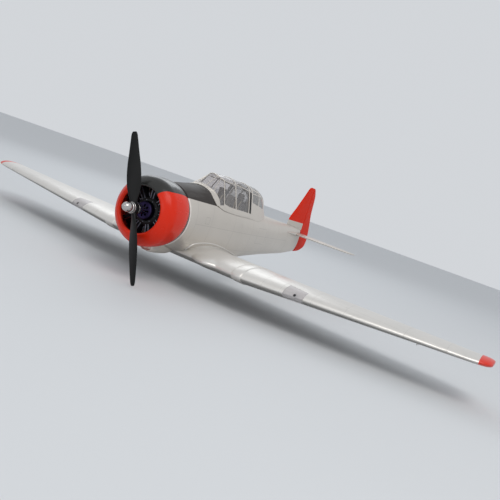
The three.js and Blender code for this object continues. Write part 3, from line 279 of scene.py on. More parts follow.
# ------------------------------------------------------------------ materials
class Mat:
    """A small node-tree writer. Positions are the piece's own, which is the shared frame in metres."""

    def __init__(self, name):
        self.m = bpy.data.materials.new(name)
        self.m.use_nodes = True
        self.t = self.m.node_tree
        self.bsdf = self.t.nodes["Principled BSDF"]
        self.out = self.t.nodes["Material Output"]
        c = self.t.nodes.new("ShaderNodeTexCoord")
        self.pos = c.outputs["Object"]
        sep = self.t.nodes.new("ShaderNodeSeparateXYZ")
        self.t.links.new(self.pos, sep.inputs[0])
        self.x, self.y, self.z = sep.outputs

    def plug(self, value, socket):
        if isinstance(value, bpy.types.NodeSocket):
            self.t.links.new(value, socket)
        elif isinstance(value, (tuple, list)):
            socket.default_value = tuple(value) + (1.0,) * (len(socket.default_value) - len(value)) if hasattr(socket.default_value, "__len__") else value[0]
        else:
            socket.default_value = value

    def math(self, op, a, b=0.0, c=None, clamp=False):
        n = self.t.nodes.new("ShaderNodeMath")
        n.operation, n.use_clamp = op, clamp
        self.plug(a, n.inputs[0])
        self.plug(b, n.inputs[1])
        if c is not None:
            self.plug(c, n.inputs[2])
        return n.outputs[0]

    def add(self, a, b):
        return self.math("ADD", a, b)

    def sub(self, a, b):
        return self.math("SUBTRACT", a, b)

    def mul(self, a, b):
        return self.math("MULTIPLY", a, b)

    def maxi(self, a, b):
        return self.math("MAXIMUM", a, b)

    def mini(self, a, b):
        return self.math("MINIMUM", a, b)

    def step(self, v, a, b):
        """0 below a, 1 above b, smooth between."""
        n = self.t.nodes.new("ShaderNodeMapRange")
        n.interpolation_type = "SMOOTHSTEP"
        self.plug(v, n.inputs["Value"])
        self.plug(a, n.inputs["From Min"])
        self.plug(b, n.inputs["From Max"])
        return n.outputs["Result"]

    def noise(self, scale, detail=3.0, rough=0.55, stretch=None, distort=0.0):
        n = self.t.nodes.new("ShaderNodeTexNoise")
        src = self.pos
        if stretch:
            mp = self.t.nodes.new("ShaderNodeMapping")
            mp.inputs["Scale"].default_value = stretch
            self.t.links.new(self.pos, mp.inputs[0])
            src = mp.outputs[0]
        self.t.links.new(src, n.inputs["Vector"])
        n.inputs["Scale"].default_value = scale
        n.inputs["Detail"].default_value = detail
        n.inputs["Roughness"].default_value = rough
        n.inputs["Distortion"].default_value = distort
        return n.outputs[0]

    def cells(self, scale, feature="F1", stretch=None):
        n = self.t.nodes.new("ShaderNodeTexVoronoi")
        n.feature = feature
        src = self.pos
        if stretch:
            mp = self.t.nodes.new("ShaderNodeMapping")
            mp.inputs["Scale"].default_value = stretch
            self.t.links.new(self.pos, mp.inputs[0])
            src = mp.outputs[0]
        self.t.links.new(src, n.inputs["Vector"])
        n.inputs["Scale"].default_value = scale
        return n.outputs["Distance"]

    def mix(self, f, a, b):
        n = self.t.nodes.new("ShaderNodeMix")
        n.data_type = "RGBA"
        self.plug(f, n.inputs[0])
        self.plug(a, n.inputs[6])
        self.plug(b, n.inputs[7])
        return n.outputs[2]

    def tint(self, colour, value, amount):
        """Lightens and darkens a colour by a 0-1 value around its middle."""
        n = self.t.nodes.new("ShaderNodeHueSaturation")
        self.plug(colour, n.inputs["Color"])
        self.plug(self.add(1.0 - amount / 2, self.mul(value, amount)), n.inputs["Value"])
        return n.outputs[0]

    def bump(self, height, distance, strength=1.0, normal=None):
        n = self.t.nodes.new("ShaderNodeBump")
        n.inputs["Strength"].default_value = strength
        n.inputs["Distance"].default_value = distance
        self.plug(height, n.inputs["Height"])
        if normal is not None:
            self.t.links.new(normal, n.inputs["Normal"])
        return n.outputs[0]

    def soften(self, radius_mm, samples=4):
        n = self.t.nodes.new("ShaderNodeBevel")
        n.samples = samples
        n.inputs["Radius"].default_value = radius_mm * 0.001
        return n.outputs[0]

    def set(self, **kw):
        names = {"color": "Base Color", "rough": "Roughness", "metal": "Metallic", "normal": "Normal", "coat": "Coat Weight",
                 "coat_rough": "Coat Roughness", "spec": "Specular IOR Level", "sss": "Subsurface Weight", "trans": "Transmission Weight",
                 "ior": "IOR", "sheen": "Sheen Weight", "emit": "Emission Color", "emit_s": "Emission Strength"}
        for k, v in kw.items():
            self.plug(v, self.bsdf.inputs[names[k]])
        return self.m

    def line(self, v, at, half=0.0003, soft=0.00035):
        """1 on a line where v is at the given value."""
        d = self.math("ABSOLUTE", self.sub(v, at))
        return self.sub(1.0, self.step(d, half, half + soft))

    def between(self, v, lo, hi, soft=0.0004):
        return self.mul(self.step(v, lo - soft, lo + soft), self.sub(1.0, self.step(v, hi - soft, hi + soft)))


SILVER = (0.625, 0.580, 0.525)
SILVER_LIGHT = (0.730, 0.700, 0.655)
# lighter copy of the same silver paint: painted light for the lit wing, control-surface and wing-root surfaces
SILVER_WING_LIT = (0.700, 0.676, 0.640)
RED = (0.680, 0.024, 0.006)
BLACKISH = (0.040, 0.034, 0.031)


def foam_detail(m, base_rough, grain=1.0):
    """Bead skin of moulded foam under paint, handling marks, and a slow mottle."""
    beads = m.cells(260.0, "SMOOTH_F1")
    fine = m.noise(900.0, 2.0)
    slow = m.noise(14.0, 4.0, 0.6)
    streak = m.noise(60.0, 3.0, 0.6, stretch=(0.25, 1.0, 1.0))
    height = m.add(m.mul(beads, 0.9 * grain), m.mul(fine, 0.25 * grain))
    rough = m.add(base_rough, m.mul(m.sub(streak, 0.5), 0.14))
    return height, slow, streak, rough


def silver_paint(name, kind="plain"):
    m = Mat(name)
    height, slow, streak, rough = foam_detail(m, 0.35 if kind in ("wing", "ribs", "root") else 0.38)
    # wing, ribbed and root pieces take the lighter silver as painted light
    col = m.tint(SILVER_WING_LIT if kind in ("wing", "ribs", "root") else SILVER, slow, 0.14)
    col = m.mix(m.mul(m.step(streak, 0.60, 0.78), 0.18), col, SILVER_LIGHT)
    grime = m.mul(m.step(m.noise(34.0, 5.0, 0.65), 0.55, 0.80), 0.16)
    col = m.mix(grime, col, (0.30, 0.28, 0.25))
    metal, groove, spec_ = 0.55, None, 0.5
    if kind == "fuselage":
        lines = None
        for at in (0.1090, 0.0555, -0.0300, -0.1150, -0.2050, -0.2750, -0.3450):
            l = m.line(m.x, at, 0.00022, 0.00030)
            lines = l if lines is None else m.maxi(lines, l)
        side = m.line(m.z, 0.0655, 0.00020, 0.00030)
        side = m.mul(side, m.between(m.x, -0.345, 0.109))
        low = m.mul(m.line(m.z, 0.0300, 0.00020, 0.00030), m.between(m.x, -0.275, 0.109))
        lines = m.maxi(lines, m.maxi(side, low))
        # service panel and baggage door outlines on both sides
        def frame_box(x0, x1, z0, z1):
            edge = m.maxi(m.mul(m.maxi(m.line(m.x, x0, 0.0003), m.line(m.x, x1, 0.0003)), m.between(m.z, z0, z1)),
                          m.mul(m.maxi(m.line(m.z, z0, 0.0003), m.line(m.z, z1, 0.0003)), m.between(m.x, x0, x1)))
            return edge
        lines = m.maxi(lines, frame_box(0.0640, 0.0780, 0.0690, 0.0800))
        lines = m.maxi(lines, frame_box(-0.1960, -0.1480, 0.0500, 0.0810))
        spine = m.line(m.y, 0.0, 0.00015, 0.00025)
        lines = m.maxi(lines, m.mul(spine, 0.8))
        groove = lines
        col = m.mix(m.mul(lines, 0.24), col, (0.18, 0.165, 0.15))
        # small fasteners in rows beside the frames
        dots = m.mul(m.between(m.math("MODULO", m.add(m.z, 1.0), 0.0082), 0.0037, 0.0045, 0.0002), 1.0)
        rows = None
        for at in (0.1115, 0.0580, -0.0275, -0.1125, -0.2025):
            r = m.between(m.x, at - 0.0004, at + 0.0004, 0.0002)
            rows = r if rows is None else m.maxi(rows, r)
        rivets = m.mul(dots, rows)
        height = m.sub(height, m.mul(lines, 3.6))
        height = m.sub(height, m.mul(rivets, 2.2))
        # anti-glare panel: black top of the nose back to the windscreen
        edge_z = m.add(0.1012, m.mul(m.noise(120.0, 2.0), 0.0002))
        top = m.mul(m.step(m.z, edge_z, m.add(edge_z, 0.0004)), m.step(m.x, 0.0466, 0.0470))
        black = m.tint(BLACKISH, slow, 0.5)
        black = m.mix(m.mul(m.step(streak, 0.58, 0.8), 0.35), black, (0.10, 0.095, 0.09))
        col = m.mix(top, col, black)
        metal = m.mul(m.sub(1.0, top), 0.55)
        rough = m.add(rough, m.mul(top, 0.12))
        spec_ = m.sub(0.5, m.mul(top, 0.36))
    if kind == "wing":
        ay = m.math("ABSOLUTE", m.y)
        # painted shade: the lower skin is mixed towards a darker grey, up to a soft line along the leading edge,
        # standing in for the shade under the wing
        chord_z = m.add(0.0110, m.mul(m.maxi(m.sub(ay, 0.1394), 0.0), 0.03185))
        under = m.sub(1.0, m.step(m.z, m.sub(chord_z, 0.0030), m.sub(chord_z, 0.0002)))
        col = m.mix(m.mul(under, 0.70), col, (0.230, 0.222, 0.208))
        lines = None
        for at in (0.1760, 0.2050, 0.2560, 0.3070, 0.3980, 0.4600):
            l = m.line(ay, at, 0.00020, 0.00030)
            lines = l if lines is None else m.maxi(lines, l)
        # two spanwise seams that follow the taper
        taper = m.mul(m.step(ay, 0.1394, 0.4920), 1.0)
        lin = m.math("MULTIPLY", m.sub(ay, 0.1394), 1.0)
        fwd = m.sub(0.0520, m.mul(m.maxi(lin, 0.0), 0.105))
        aft = m.sub(-0.0450, m.mul(m.maxi(lin, 0.0), -0.020))
        seam = m.maxi(m.line(m.x, fwd, 0.00020, 0.00030), m.line(m.x, aft, 0.00020, 0.00030))
        lines = m.maxi(lines, m.mul(seam, m.between(ay, 0.145, 0.480)))
        lines = m.mul(lines, m.step(m.z, 0.0095, 0.0105))
        col = m.mix(m.mul(lines, 0.20), col, (0.20, 0.19, 0.175))
        height = m.sub(height, m.mul(lines, 4.0))
        # red wing tip, masked along a straight edge
        tipmask = m.step(ay, 0.5052, 0.5056)
        red = m.tint(RED, slow, 0.20)
        col = m.mix(tipmask, col, red)
        metal = m.mul(m.sub(1.0, tipmask), 0.55)
    if kind == "ribs":
        ay = m.math("ABSOLUTE", m.y)
        r = m.math("ABSOLUTE", m.sub(m.math("MODULO", ay, 0.0150), 0.0075))
        ridge = m.sub(1.0, m.step(r, 0.0004, 0.0022))
        height = m.add(height, m.mul(ridge, 3.0))
        tipmask = m.step(ay, 0.5052, 0.5056)
        col = m.mix(tipmask, col, m.tint(RED, slow, 0.20))
        metal = m.mul(m.sub(1.0, tipmask), 0.55)
    nrm = m.bump(height, 0.00006, 0.55, m.soften(0.45))
    return m.set(color=col, rough=rough, metal=metal, normal=nrm, coat=0.06, coat_rough=0.35, spec=spec_)


def red_paint(name, kind="plain"):
    m = Mat(name)
    height, slow, streak, rough = foam_detail(m, 0.30 if kind == "cowl" else 0.36, 0.6)
    col = m.tint(RED, slow, 0.18)
    col = m.mix(m.mul(m.step(streak, 0.62, 0.80), 0.16), col, (0.72, 0.085, 0.030))
    metal, coat, spec_ = 0.0, 0.04, 0.14
    if kind == "cowl":
        # black anti-glare over the top of the cowl, dropping behind the lip
        px = m.sub(0.1997, m.x)
        ay = m.math("ABSOLUTE", m.y)
        slope = m.add(0.74, m.mul(m.step(px, 0.000, 0.020), 0.172))
        outer = m.step(m.sub(m.mul(m.sub(m.z, 0.0631), slope), ay), 0.0, 0.0004)
        black = m.tint((0.021, 0.021, 0.019), slow, 0.5)
        col = m.mix(outer, col, black)
        coat, spec_ = m.sub(0.10, m.mul(outer, 0.04)), m.add(0.16, m.mul(outer, 0.26))
        rough = m.sub(rough, m.mul(outer, 0.04))
        # painted shade: the inside of the cowl behind the lip is coloured near-black, standing in for the shade in the
        # opening
        r2 = m.math("SQRT", m.add(m.mul(m.y, m.y), m.mul(m.sub(m.z, 0.0631), m.sub(m.z, 0.0631))))
        inner = m.mul(m.step(px, 0.0030, 0.0040), m.sub(1.0, m.step(r2, m.add(0.0375, m.mul(m.step(px, 0.004, 0.026), 0.0140)), m.add(0.0385, m.mul(m.step(px, 0.004, 0.026), 0.0140)))))
        col = m.mix(inner, col, (0.012, 0.012, 0.013))
        seam = m.line(m.x, 0.1465, 0.00020, 0.00030)
        height = m.sub(height, m.mul(seam, 4.0))
        col = m.mix(m.mul(seam, 0.35), col, (0.10, 0.02, 0.015))
        rough = m.sub(rough, 0.04)
    if kind == "fin":
        base = m.sub(1.0, m.step(m.z, 0.1122, 0.1126))
        silver = m.tint(SILVER, slow, 0.14)
        col = m.mix(base, col, silver)
        metal = m.mul(base, 0.5)
        lines = m.mul(m.line(m.z, 0.1124, 0.0002, 0.0003), 1.0)
        height = m.sub(height, m.mul(lines, 3.0))
    if kind in ("fin", "rudder"):
        coat, spec_ = 0.0, 0.05
        rough = m.add(rough, 0.10)
    if kind == "rudder":
        r = m.math("ABSOLUTE", m.sub(m.math("MODULO", m.z, 0.0170), 0.0085))
        ridge = m.sub(1.0, m.step(r, 0.0004, 0.0022))
        height = m.add(height, m.mul(ridge, 3.0))
    nrm = m.bump(height, 0.00005, 0.5, m.soften(0.45))
    return m.set(color=col, rough=rough, metal=metal, normal=nrm, coat=coat, coat_rough=0.25, spec=spec_)


def plastic(name, colour, rough=0.45, grain=600.0, bump=0.00002, coat=0.0, spread=0.25, metal=0.0, scuff=(0.0, (0.3, 0.3, 0.3)), spec=0.5):
    m = Mat(name)
    g = m.noise(grain, 3.0)
    slow = m.noise(45.0, 3.0)
    wear = m.step(m.noise(160.0, 5.0, 0.7), 0.60, 0.75)
    col = m.mix(m.mul(wear, scuff[0]), m.tint(colour, slow, spread), scuff[1])
    return m.set(color=col, rough=m.add(rough, m.mul(m.sub(slow, 0.5), 0.2)), metal=metal,
                 normal=m.bump(g, bump, 0.7, m.soften(0.25)), coat=coat, spec=spec)


def turned_metal(name, colour=(0.80, 0.80, 0.81), rough=0.20):
    m = Mat(name)
    rings = m.noise(1500.0, 2.0, stretch=(1.0, 0.02, 0.02))
    slow = m.noise(220.0, 3.0)
    col = m.tint(colour, slow, 0.16)
    return m.set(color=col, metal=1.0, rough=m.add(rough, m.mul(m.sub(rings, 0.5), 0.18)), normal=m.bump(rings, 0.00001, 0.5, m.soften(0.3)))


def wire_metal(name):
    m = Mat(name)
    drawn = m.noise(2500.0, 2.0, stretch=(0.03, 1.0, 1.0))
    return m.set(color=m.tint((0.62, 0.62, 0.64), drawn, 0.25), metal=1.0, rough=m.add(0.24, m.mul(drawn, 0.15)), normal=m.bump(drawn, 0.00001, 0.4))


def clear_plastic(name, tint=(0.90, 0.885, 0.885), haze=0.05, gloss=0.16, mottle=1.0, spot=None):
    m = Mat(name)
    t = m.t
    lw = t.nodes.new("ShaderNodeLayerWeight")
    lw.inputs["Blend"].default_value = 0.5
    wave = m.bump(m.noise(28.0, 2.0), 0.0008, 0.35)
    t.links.new(wave, lw.inputs["Normal"])
    fres = m.add(0.030, m.mul(m.math("POWER", lw.outputs["Facing"], 4.5), 0.62))
    gl = t.nodes.new("ShaderNodeBsdfGlossy")
    gl.inputs["Color"].default_value = (1, 1, 1, 1)
    gl.inputs["Roughness"].default_value = gloss
    t.links.new(wave, gl.inputs["Normal"])
    tr = t.nodes.new("ShaderNodeBsdfTransparent")
    m.plug(m.tint(tint, m.noise(20.0), 0.06), tr.inputs["Color"])
    df = t.nodes.new("ShaderNodeBsdfDiffuse")
    df.inputs["Color"].default_value = (0.80, 0.78, 0.77, 1)
    dust = m.add(haze * (0.6 + 0.5 * (1.0 - mottle)), m.mul(m.step(m.noise(45.0, 3.0, 0.5), 0.35, 0.80), haze * mottle))
    if spot:
        # dark centre of the lamp behind the lens, at the given distance from the middle plane and height
        dy, dz = m.sub(m.math("ABSOLUTE", m.y), spot[0]), m.sub(m.z, spot[1])
        near = m.sub(1.0, m.step(m.math("SQRT", m.add(m.mul(dy, dy), m.mul(dz, dz))), spot[2] * 0.55, spot[2]))
        m.plug(m.mix(near, (0.80, 0.78, 0.77), (0.020, 0.018, 0.020)), df.inputs["Color"])
        dust = m.maxi(dust, m.mul(near, 0.80))
    mix1 = t.nodes.new("ShaderNodeMixShader")
    m.plug(dust, mix1.inputs[0])
    t.links.new(tr.outputs[0], mix1.inputs[1])
    t.links.new(df.outputs[0], mix1.inputs[2])
    mix2 = t.nodes.new("ShaderNodeMixShader")
    m.plug(fres, mix2.inputs[0])
    t.links.new(mix1.outputs[0], mix2.inputs[1])
    t.links.new(gl.outputs[0], mix2.inputs[2])
    t.links.new(mix2.outputs[0], m.out.inputs["Surface"])
    t.nodes.remove(m.bsdf)
    return m.m


def plywood(name):
    m = Mat(name)
    grain = m.noise(90.0, 6.0, 0.65, stretch=(0.12, 1.0, 1.0), distort=0.6)
    ply = m.line(m.math("MODULO", m.add(m.z, 1.0), 0.0010), 0.0005, 0.00012, 0.0001)
    col = m.mix(m.step(grain, 0.35, 0.70), (0.62, 0.43, 0.24), (0.78, 0.60, 0.38))
    col = m.mix(m.mul(ply, 0.25), col, (0.35, 0.22, 0.12))
    return m.set(color=col, rough=0.72, normal=m.bump(grain, 0.00008, 0.6, m.soften(0.2)))


def leather(name):
    m = Mat(name)
    c = m.cells(650.0, "DISTANCE_TO_EDGE")
    slow = m.noise(60.0, 4.0)
    col = m.mix(m.step(slow, 0.4, 0.7), (0.052, 0.042, 0.036), (0.095, 0.076, 0.062))
    return m.set(color=col, rough=m.add(0.42, m.mul(slow, 0.2)), normal=m.bump(c, 0.00012, 0.5, m.soften(0.6)))


def webbing(name):
    m = Mat(name)
    w = m.math("SINE", m.mul(m.y, 5200.0))
    v = m.math("SINE", m.mul(m.x, 5200.0))
    wv = m.mul(w, v)
    return m.set(color=m.tint((0.022, 0.022, 0.024), m.noise(400.0), 0.6), rough=0.92, sheen=0.4, normal=m.bump(wv, 0.0001, 0.6))


def fairing_paint(name):
    """Silver paint over the clear rear moulding, left clear in two panes."""
    m = Mat(name)
    t = m.t
    height, slow, streak, rough = foam_detail(m, 0.40, 0.5)
    col = m.tint(SILVER, slow, 0.12)
    m.set(color=col, rough=rough, metal=0.5, normal=m.bump(height, 0.00004, 0.4), coat=0.12, coat_rough=0.35)
    ay = m.math("ABSOLUTE", m.y)
    low = m.add(0.1245, m.mul(m.maxi(m.sub(-0.100, m.x), 0.0), -0.10))
    panes = m.maxi(m.between(m.x, -0.1330, -0.1020, 0.0003), m.between(m.x, -0.1640, -0.1365, 0.0003))
    side = m.mul(panes, m.mul(m.step(m.z, low, m.add(low, 0.0003)), m.sub(1.0, m.between(ay, 0.0150, 0.0168, 0.0003))))
    side = m.mul(side, m.sub(1.0, m.mul(m.between(m.z, 0.1395, 0.1408, 0.0003), m.step(ay, 0.0150, 0.0154))))
    lw = t.nodes.new("ShaderNodeLayerWeight")
    lw.inputs["Blend"].default_value = 0.5
    tr = t.nodes.new("ShaderNodeBsdfTransparent")
    m.plug(m.tint((0.90, 0.90, 0.90), slow, 0.08), tr.inputs["Color"])
    gl = t.nodes.new("ShaderNodeBsdfGlossy")
    gl.inputs["Roughness"].default_value = 0.12
    df = t.nodes.new("ShaderNodeBsdfDiffuse")
    df.inputs["Color"].default_value = (0.55, 0.54, 0.52, 1)
    m0 = t.nodes.new("ShaderNodeMixShader")
    m.plug(m.add(0.22, m.mul(m.step(m.noise(50.0, 3.0, 0.5), 0.35, 0.80), 0.09)), m0.inputs[0])
    t.links.new(tr.outputs[0], m0.inputs[1])
    t.links.new(df.outputs[0], m0.inputs[2])
    m1 = t.nodes.new("ShaderNodeMixShader")
    m.plug(m.add(0.04, m.mul(m.math("POWER", lw.outputs["Facing"], 4.0), 0.8)), m1.inputs[0])
    t.links.new(m0.outputs[0], m1.inputs[1])
    t.links.new(gl.outputs[0], m1.inputs[2])
    m2 = t.nodes.new("ShaderNodeMixShader")
    m.plug(side, m2.inputs[0])
    t.links.new(m.bsdf.outputs[0], m2.inputs[1])
    t.links.new(m1.outputs[0], m2.inputs[2])
    t.links.new(m2.outputs[0], m.out.inputs["Surface"])
    return m.m


silver_fus = silver_paint("silver_fuselage", "fuselage")
fairing_mat = fairing_paint("silver_rear_glazing")
silver_wing = silver_paint("silver_wing", "wing")
silver_ribs = silver_paint("silver_ribbed", "ribs")
silver = silver_paint("silver_plain")
red_cowl = red_paint("red_cowl", "cowl")
red_fin = red_paint("red_fin", "fin")
red_rudder = red_paint("red_rudder", "rudder")
prop_black = plastic("propeller_nylon", (0.012, 0.012, 0.012), 0.40, 900.0, 0.00001, 0.0, 0.5, scuff=(0.10, (0.030, 0.030, 0.030)), spec=0.13)
silver_root = silver_paint("silver_root_paint", "root")
alu = turned_metal("turned_aluminium", (0.53, 0.515, 0.50), 0.24)
alu_dark = turned_metal("motor_aluminium", (0.030, 0.022, 0.066), 0.44)
wire = wire_metal("music_wire")
clear = clear_plastic("clear_canopy_plastic", mottle=0.45)
clear_lens = clear_plastic("clear_lens_plastic", (0.92, 0.90, 0.91), 0.34, 0.30, 0.15, (0.2292, 0.0166, 0.0028))
wood = plywood("birch_ply")
hide = leather("seat_leather")
strap = webbing("strap_webbing")
nylon = plastic("nylon_white", (0.72, 0.71, 0.67), 0.42, 700.0, 0.00002, 0.1, 0.12)
servo_blue = plastic("servo_case", (0.018, 0.032, 0.075), 0.25, 900.0, 0.00001, 0.5, 0.3)
pit_dark = plastic("cockpit_dark", (0.020, 0.018, 0.017), 0.62, 500.0, 0.00003, 0.0, 0.4, scuff=(0.25, (0.07, 0.065, 0.06)), spec=0.25)
# black rubber colour, used for the lamp bulb and for the painted shade strips on the canopy
black_seal_and_shade = plastic("black_rubber_and_painted_shade", (0.016, 0.016, 0.016), 0.7, 700.0, 0.00003, 0.0, 0.4, spec=0.25)
pit_grey = plastic("cockpit_grey", (0.30, 0.255, 0.200), 0.60, 500.0, 0.00003, 0.0, 0.4, scuff=(0.25, (0.10, 0.09, 0.08)))
wrap_blue = plastic("battery_wrap", (0.020, 0.045, 0.30), 0.22, 300.0, 0.00004, 0.5, 0.2)
eng_dark = plastic("engine_black", (0.010, 0.010, 0.011), 0.52, 500.0, 0.00004, 0.0, 0.6, scuff=(0.20, (0.035, 0.035, 0.045)), spec=0.3)
eng_fin = plastic("engine_fin_grey", (0.010, 0.009, 0.014), 0.50, 500.0, 0.00004, 0.0, 0.6, metal=0.2, scuff=(0.30, (0.045, 0.040, 0.075)), spec=0.3)
eng_tube = turned_metal("engine_tube", (0.30, 0.30, 0.36), 0.32)
nickel = turned_metal("magnet_nickel", (0.72, 0.71, 0.70), 0.15)
carbon = plastic("carbon_tube", (0.014, 0.014, 0.015), 0.28, 1200.0, 0.00003, 0.5, 0.5)



def rim_highlight_paint(name):
    m = Mat(name)
    height, slow, streak, rough = foam_detail(m, 0.36, 0.5)
    top = m.step(m.z, 0.1012, 0.1018)
    # pale colour below the anti-glare line is a painted highlight on the rim; the black top is the anti-glare paint
    col = m.mix(top, m.tint((0.780, 0.715, 0.670), slow, 0.12), m.tint(BLACKISH, slow, 0.4))
    return m.set(color=col, rough=m.add(rough, m.mul(top, 0.12)), normal=m.bump(height, 0.00004, 0.5, m.soften(0.45)), coat=0.04, spec=m.sub(0.4, m.mul(top, 0.27)))


rim_highlight_foam = rim_highlight_paint("rim_foam_painted_highlight")

# ------------------------------------------------------------------ fuselage
FUSELAGE = [
    [0.96, 0.585, 0.625, -0.565, 0.03, 2.05], [1.25, 0.575, 0.680, -0.620, 0.03, 2.20], [1.55, 0.560, 0.715, -0.665, 0.03, 2.35],
    [1.90, 0.545, 0.755, -0.705, 0.04, 2.50], [2.30, 0.535, 0.745, -0.735, 0.04, 2.50], [2.90, 0.530, 0.710, -0.745, 0.04, 2.50],
    [3.50, 0.510, 0.660, -0.725, 0.04, 2.45], [4.10, 0.480, 0.610, -0.660, 0.04, 2.40], [4.72, 0.430, 0.560, -0.585, 0.04, 2.35],
    [5.20, 0.385, 0.525, -0.540, 0.04, 2.30], [5.74, 0.330, 0.500, -0.490, 0.04, 2.30], [6.40, 0.262, 0.478, -0.440, 0.04, 2.25],
    [7.10, 0.192, 0.460, -0.385, 0.05, 2.20], [7.60, 0.140, 0.445, -0.320, 0.06, 2.20], [8.00, 0.092, 0.430, -0.262, 0.07, 2.20],
]
GAP, FOAM, JOINT_Y = 0.3, 5.5, 1.70


def hull_row(s):
    return pchip(FUSELAGE, s)[0]


def fuselage_ring(s, inset=0.0, n=128):
    w, zt, zb, zm, e = hull_row(s)
    i = inset / K
    t = 2 * np.pi * (np.arange(n) + 0.5) / n
    c, q = np.cos(t), np.sin(t)
    y = np.sign(c) * np.abs(c) ** (2 / e) * (w - i)
    z = zm + np.where(q > 0, zt - zm - i, zm - zb - i) * np.sign(q) * np.abs(q) ** (2 / e)
    return np.stack([np.full(n, X(s)), y * K, THRUST_Z + z * K], 1)


def hull_half(s, z):
    w, zt, zb, zm, e = hull_row(s)
    v = (z - zm) / (zt - zm) if z > zm else (zm - z) / (zm - zb)
    return w * max(0.0, 1 - min(1.0, max(0.0, v)) ** e) ** (1 / e)


SECTION = np.array([
    [1.000, 0.004], [0.900, 0.0235], [0.780, 0.0455], [0.620, 0.0720], [0.460, 0.0900], [0.320, 0.0960], [0.200, 0.0880],
    [0.110, 0.0700], [0.050, 0.0480], [0.015, 0.0255], [0.000, 0.0000], [0.015, -0.0200], [0.050, -0.0370], [0.140, -0.0560],
    [0.400, -0.0560], [0.700, -0.0560], [0.850, -0.0420], [1.000, -0.0120]])
FINE = np.concatenate([catmull(SECTION[:14], 7)[:-1], catmull(SECTION[13:], 5)])
FINE[:, 1] = np.maximum(FINE[:, 1], -0.0560)
WING = [[0.00, 1.545, -0.635, 2.40, 1.0], [1.70, 1.545, -0.635, 2.40, 1.0], [6.00, 2.460, -0.498, 1.29, 0.84], [6.16, 2.505, -0.490, 1.22, 0.86],
        [6.28, 2.565, -0.484, 1.11, 0.88], [6.36, 2.660, -0.478, 0.90, 0.90], [6.395, 2.820, -0.472, 0.56, 0.92]]


def wing_row(y):
    y = abs(y)
    if y <= 6.0:
        r = np.array(WING)
        return [float(np.interp(y, r[:, 0], r[:, k])) for k in range(1, 5)]
    rows = [[math.asin(min(1.0, (w[0] - 6.0) / 0.395)), *w[1:]] for w in WING[2:]]
    return list(pchip(rows, math.asin(min(1.0, (y - 6.0) / 0.395)))[0])


def wing_ring(y, grow=0.0, at=None):
    s0, z0, c, k = wing_row(y)
    pts = np.stack([(S_ORIGIN - s0 - FINE[:, 0] * c) * K, THRUST_Z + (z0 + FINE[:, 1] * c * k) * K], 1)
    if grow:
        a, b = np.roll(pts, 1, 0), np.roll(pts, -1, 0)
        t = (b - a) / np.linalg.norm(b - a, axis=1)[:, None]
        nrm = np.stack([t[:, 1], -t[:, 0]], 1)
        area = np.sum(pts[:, 0] * b[:, 1] - b[:, 0] * pts[:, 1])
        pts = pts + nrm * grow * (1 if area > 0 else -1)
    yy = (y if at is None else at) * K
    return np.stack([pts[:, 0], np.full(len(pts), yy), pts[:, 1]], 1)


def wing_top(s, y=0.0):
    """Height of the upper skin at a station."""
    s0, z0, c, k = wing_row(y)
    u = (s - s0) / c
    up = SECTION[:11][::-1]
    return z0 + float(np.interp(u, up[:, 0], up[:, 1])) * c * k


def bulged(ring, y, grow=0.0):
    """Wheel fairing worked into the leading edge beside the fuselage."""
    c = np.array([X(1.86), Z(-0.628)])
    lat = (abs(y) - 0.86) * K / (31.0 + grow)
    if abs(lat) >= 1.25:
        return ring
    d = ring[:, [0, 2]] - c
    r = np.maximum(np.linalg.norm(d, axis=1), 1e-6)
    u = d / r[:, None]
    f = math.sqrt(max(0.0, 1 - lat * lat))
    re = f / np.sqrt((u[:, 0] / (37.0 + grow)) ** 2 + (u[:, 1] / (10.2 + grow)) ** 2)
    k = 1.6
    rn = np.maximum(r, re) + np.where(np.abs(r - re) < k * 2, (2 * k - np.abs(r - re)) ** 2 / (8 * k), 0) * (1 if f > 0 else 0)
    out = ring.copy()
    out[:, [0, 2]] = c + u * rn[:, None]
    out[:, 2] = np.maximum(out[:, 2], min(ring[:, 2]))
    return out


centre_ys = sorted(set([-1.70, 1.70] + list(np.round(np.linspace(-1.62, 1.62, 109), 4))))
wing_centre = loft("wing_centre_fine", [bulged(wing_ring(y), y) for y in centre_ys])
wing_clear = loft("wing_clear", [bulged(wing_ring(y, GAP), y, GAP) for y in centre_ys])

SILL = [[1.86, 0.471], [2.02, 0.471], [2.37, 0.402], [2.94, 0.381], [3.59, 0.380], [4.35, 0.366], [5.10, 0.50]]
PLAN = [[1.88, 0.30], [1.893, 0.41], [2.012, 0.476], [2.012, 0.72], [5.10, 0.72]]


def sill_z(s):
    return float(np.interp(s, [r[0] for r in SILL], [r[1] for r in SILL]))


outer = loft("fuselage_fine", [fuselage_ring(s) for s in np.linspace(0.96, 8.0, 106)])
ss = np.linspace(0.96, 7.55, 60)
inner = loft("hull_inner", [fuselage_ring(0.96, FOAM, 96) + np.array([6.0, 0, 0])] + [fuselage_ring(s, 4.2 if s > 7 else FOAM, 96) for s in ss])
cut_a = prism_y("cut_a", [(X(s), Z(z)) for s, z in SILL] + [(X(5.10), Z(1.3)), (X(1.86), Z(1.3))], -60, 60)
plan = PLAN + [[s, -y] for s, y in PLAN[::-1]]
cut_b = loft("cut_b", [[(X(s), y * K, z) for s, y in plan] for z in (Z(0.2), Z(1.4))])
boolean(cut_a, ("INTERSECT", cut_b))
STAB_Z, STAB_T, HINGE_S, TAIL_ARM, RUD_Z = 0.268, 3.4, 8.05, 12.0, -0.03
hx = X(HINGE_S)
stab_slot = block("stab_slot", (X(8.2), -30, Z(STAB_Z) - STAB_T - GAP), (X(7.30), 30, Z(STAB_Z) + STAB_T + GAP))
e0, e1 = P(4.62, -0.135, STAB_Z - TAIL_ARM / K) + [0, -0.4, 0], P(HINGE_S, -0.27, STAB_Z - TAIL_ARM / K) + [0.4, 2.0, 0]
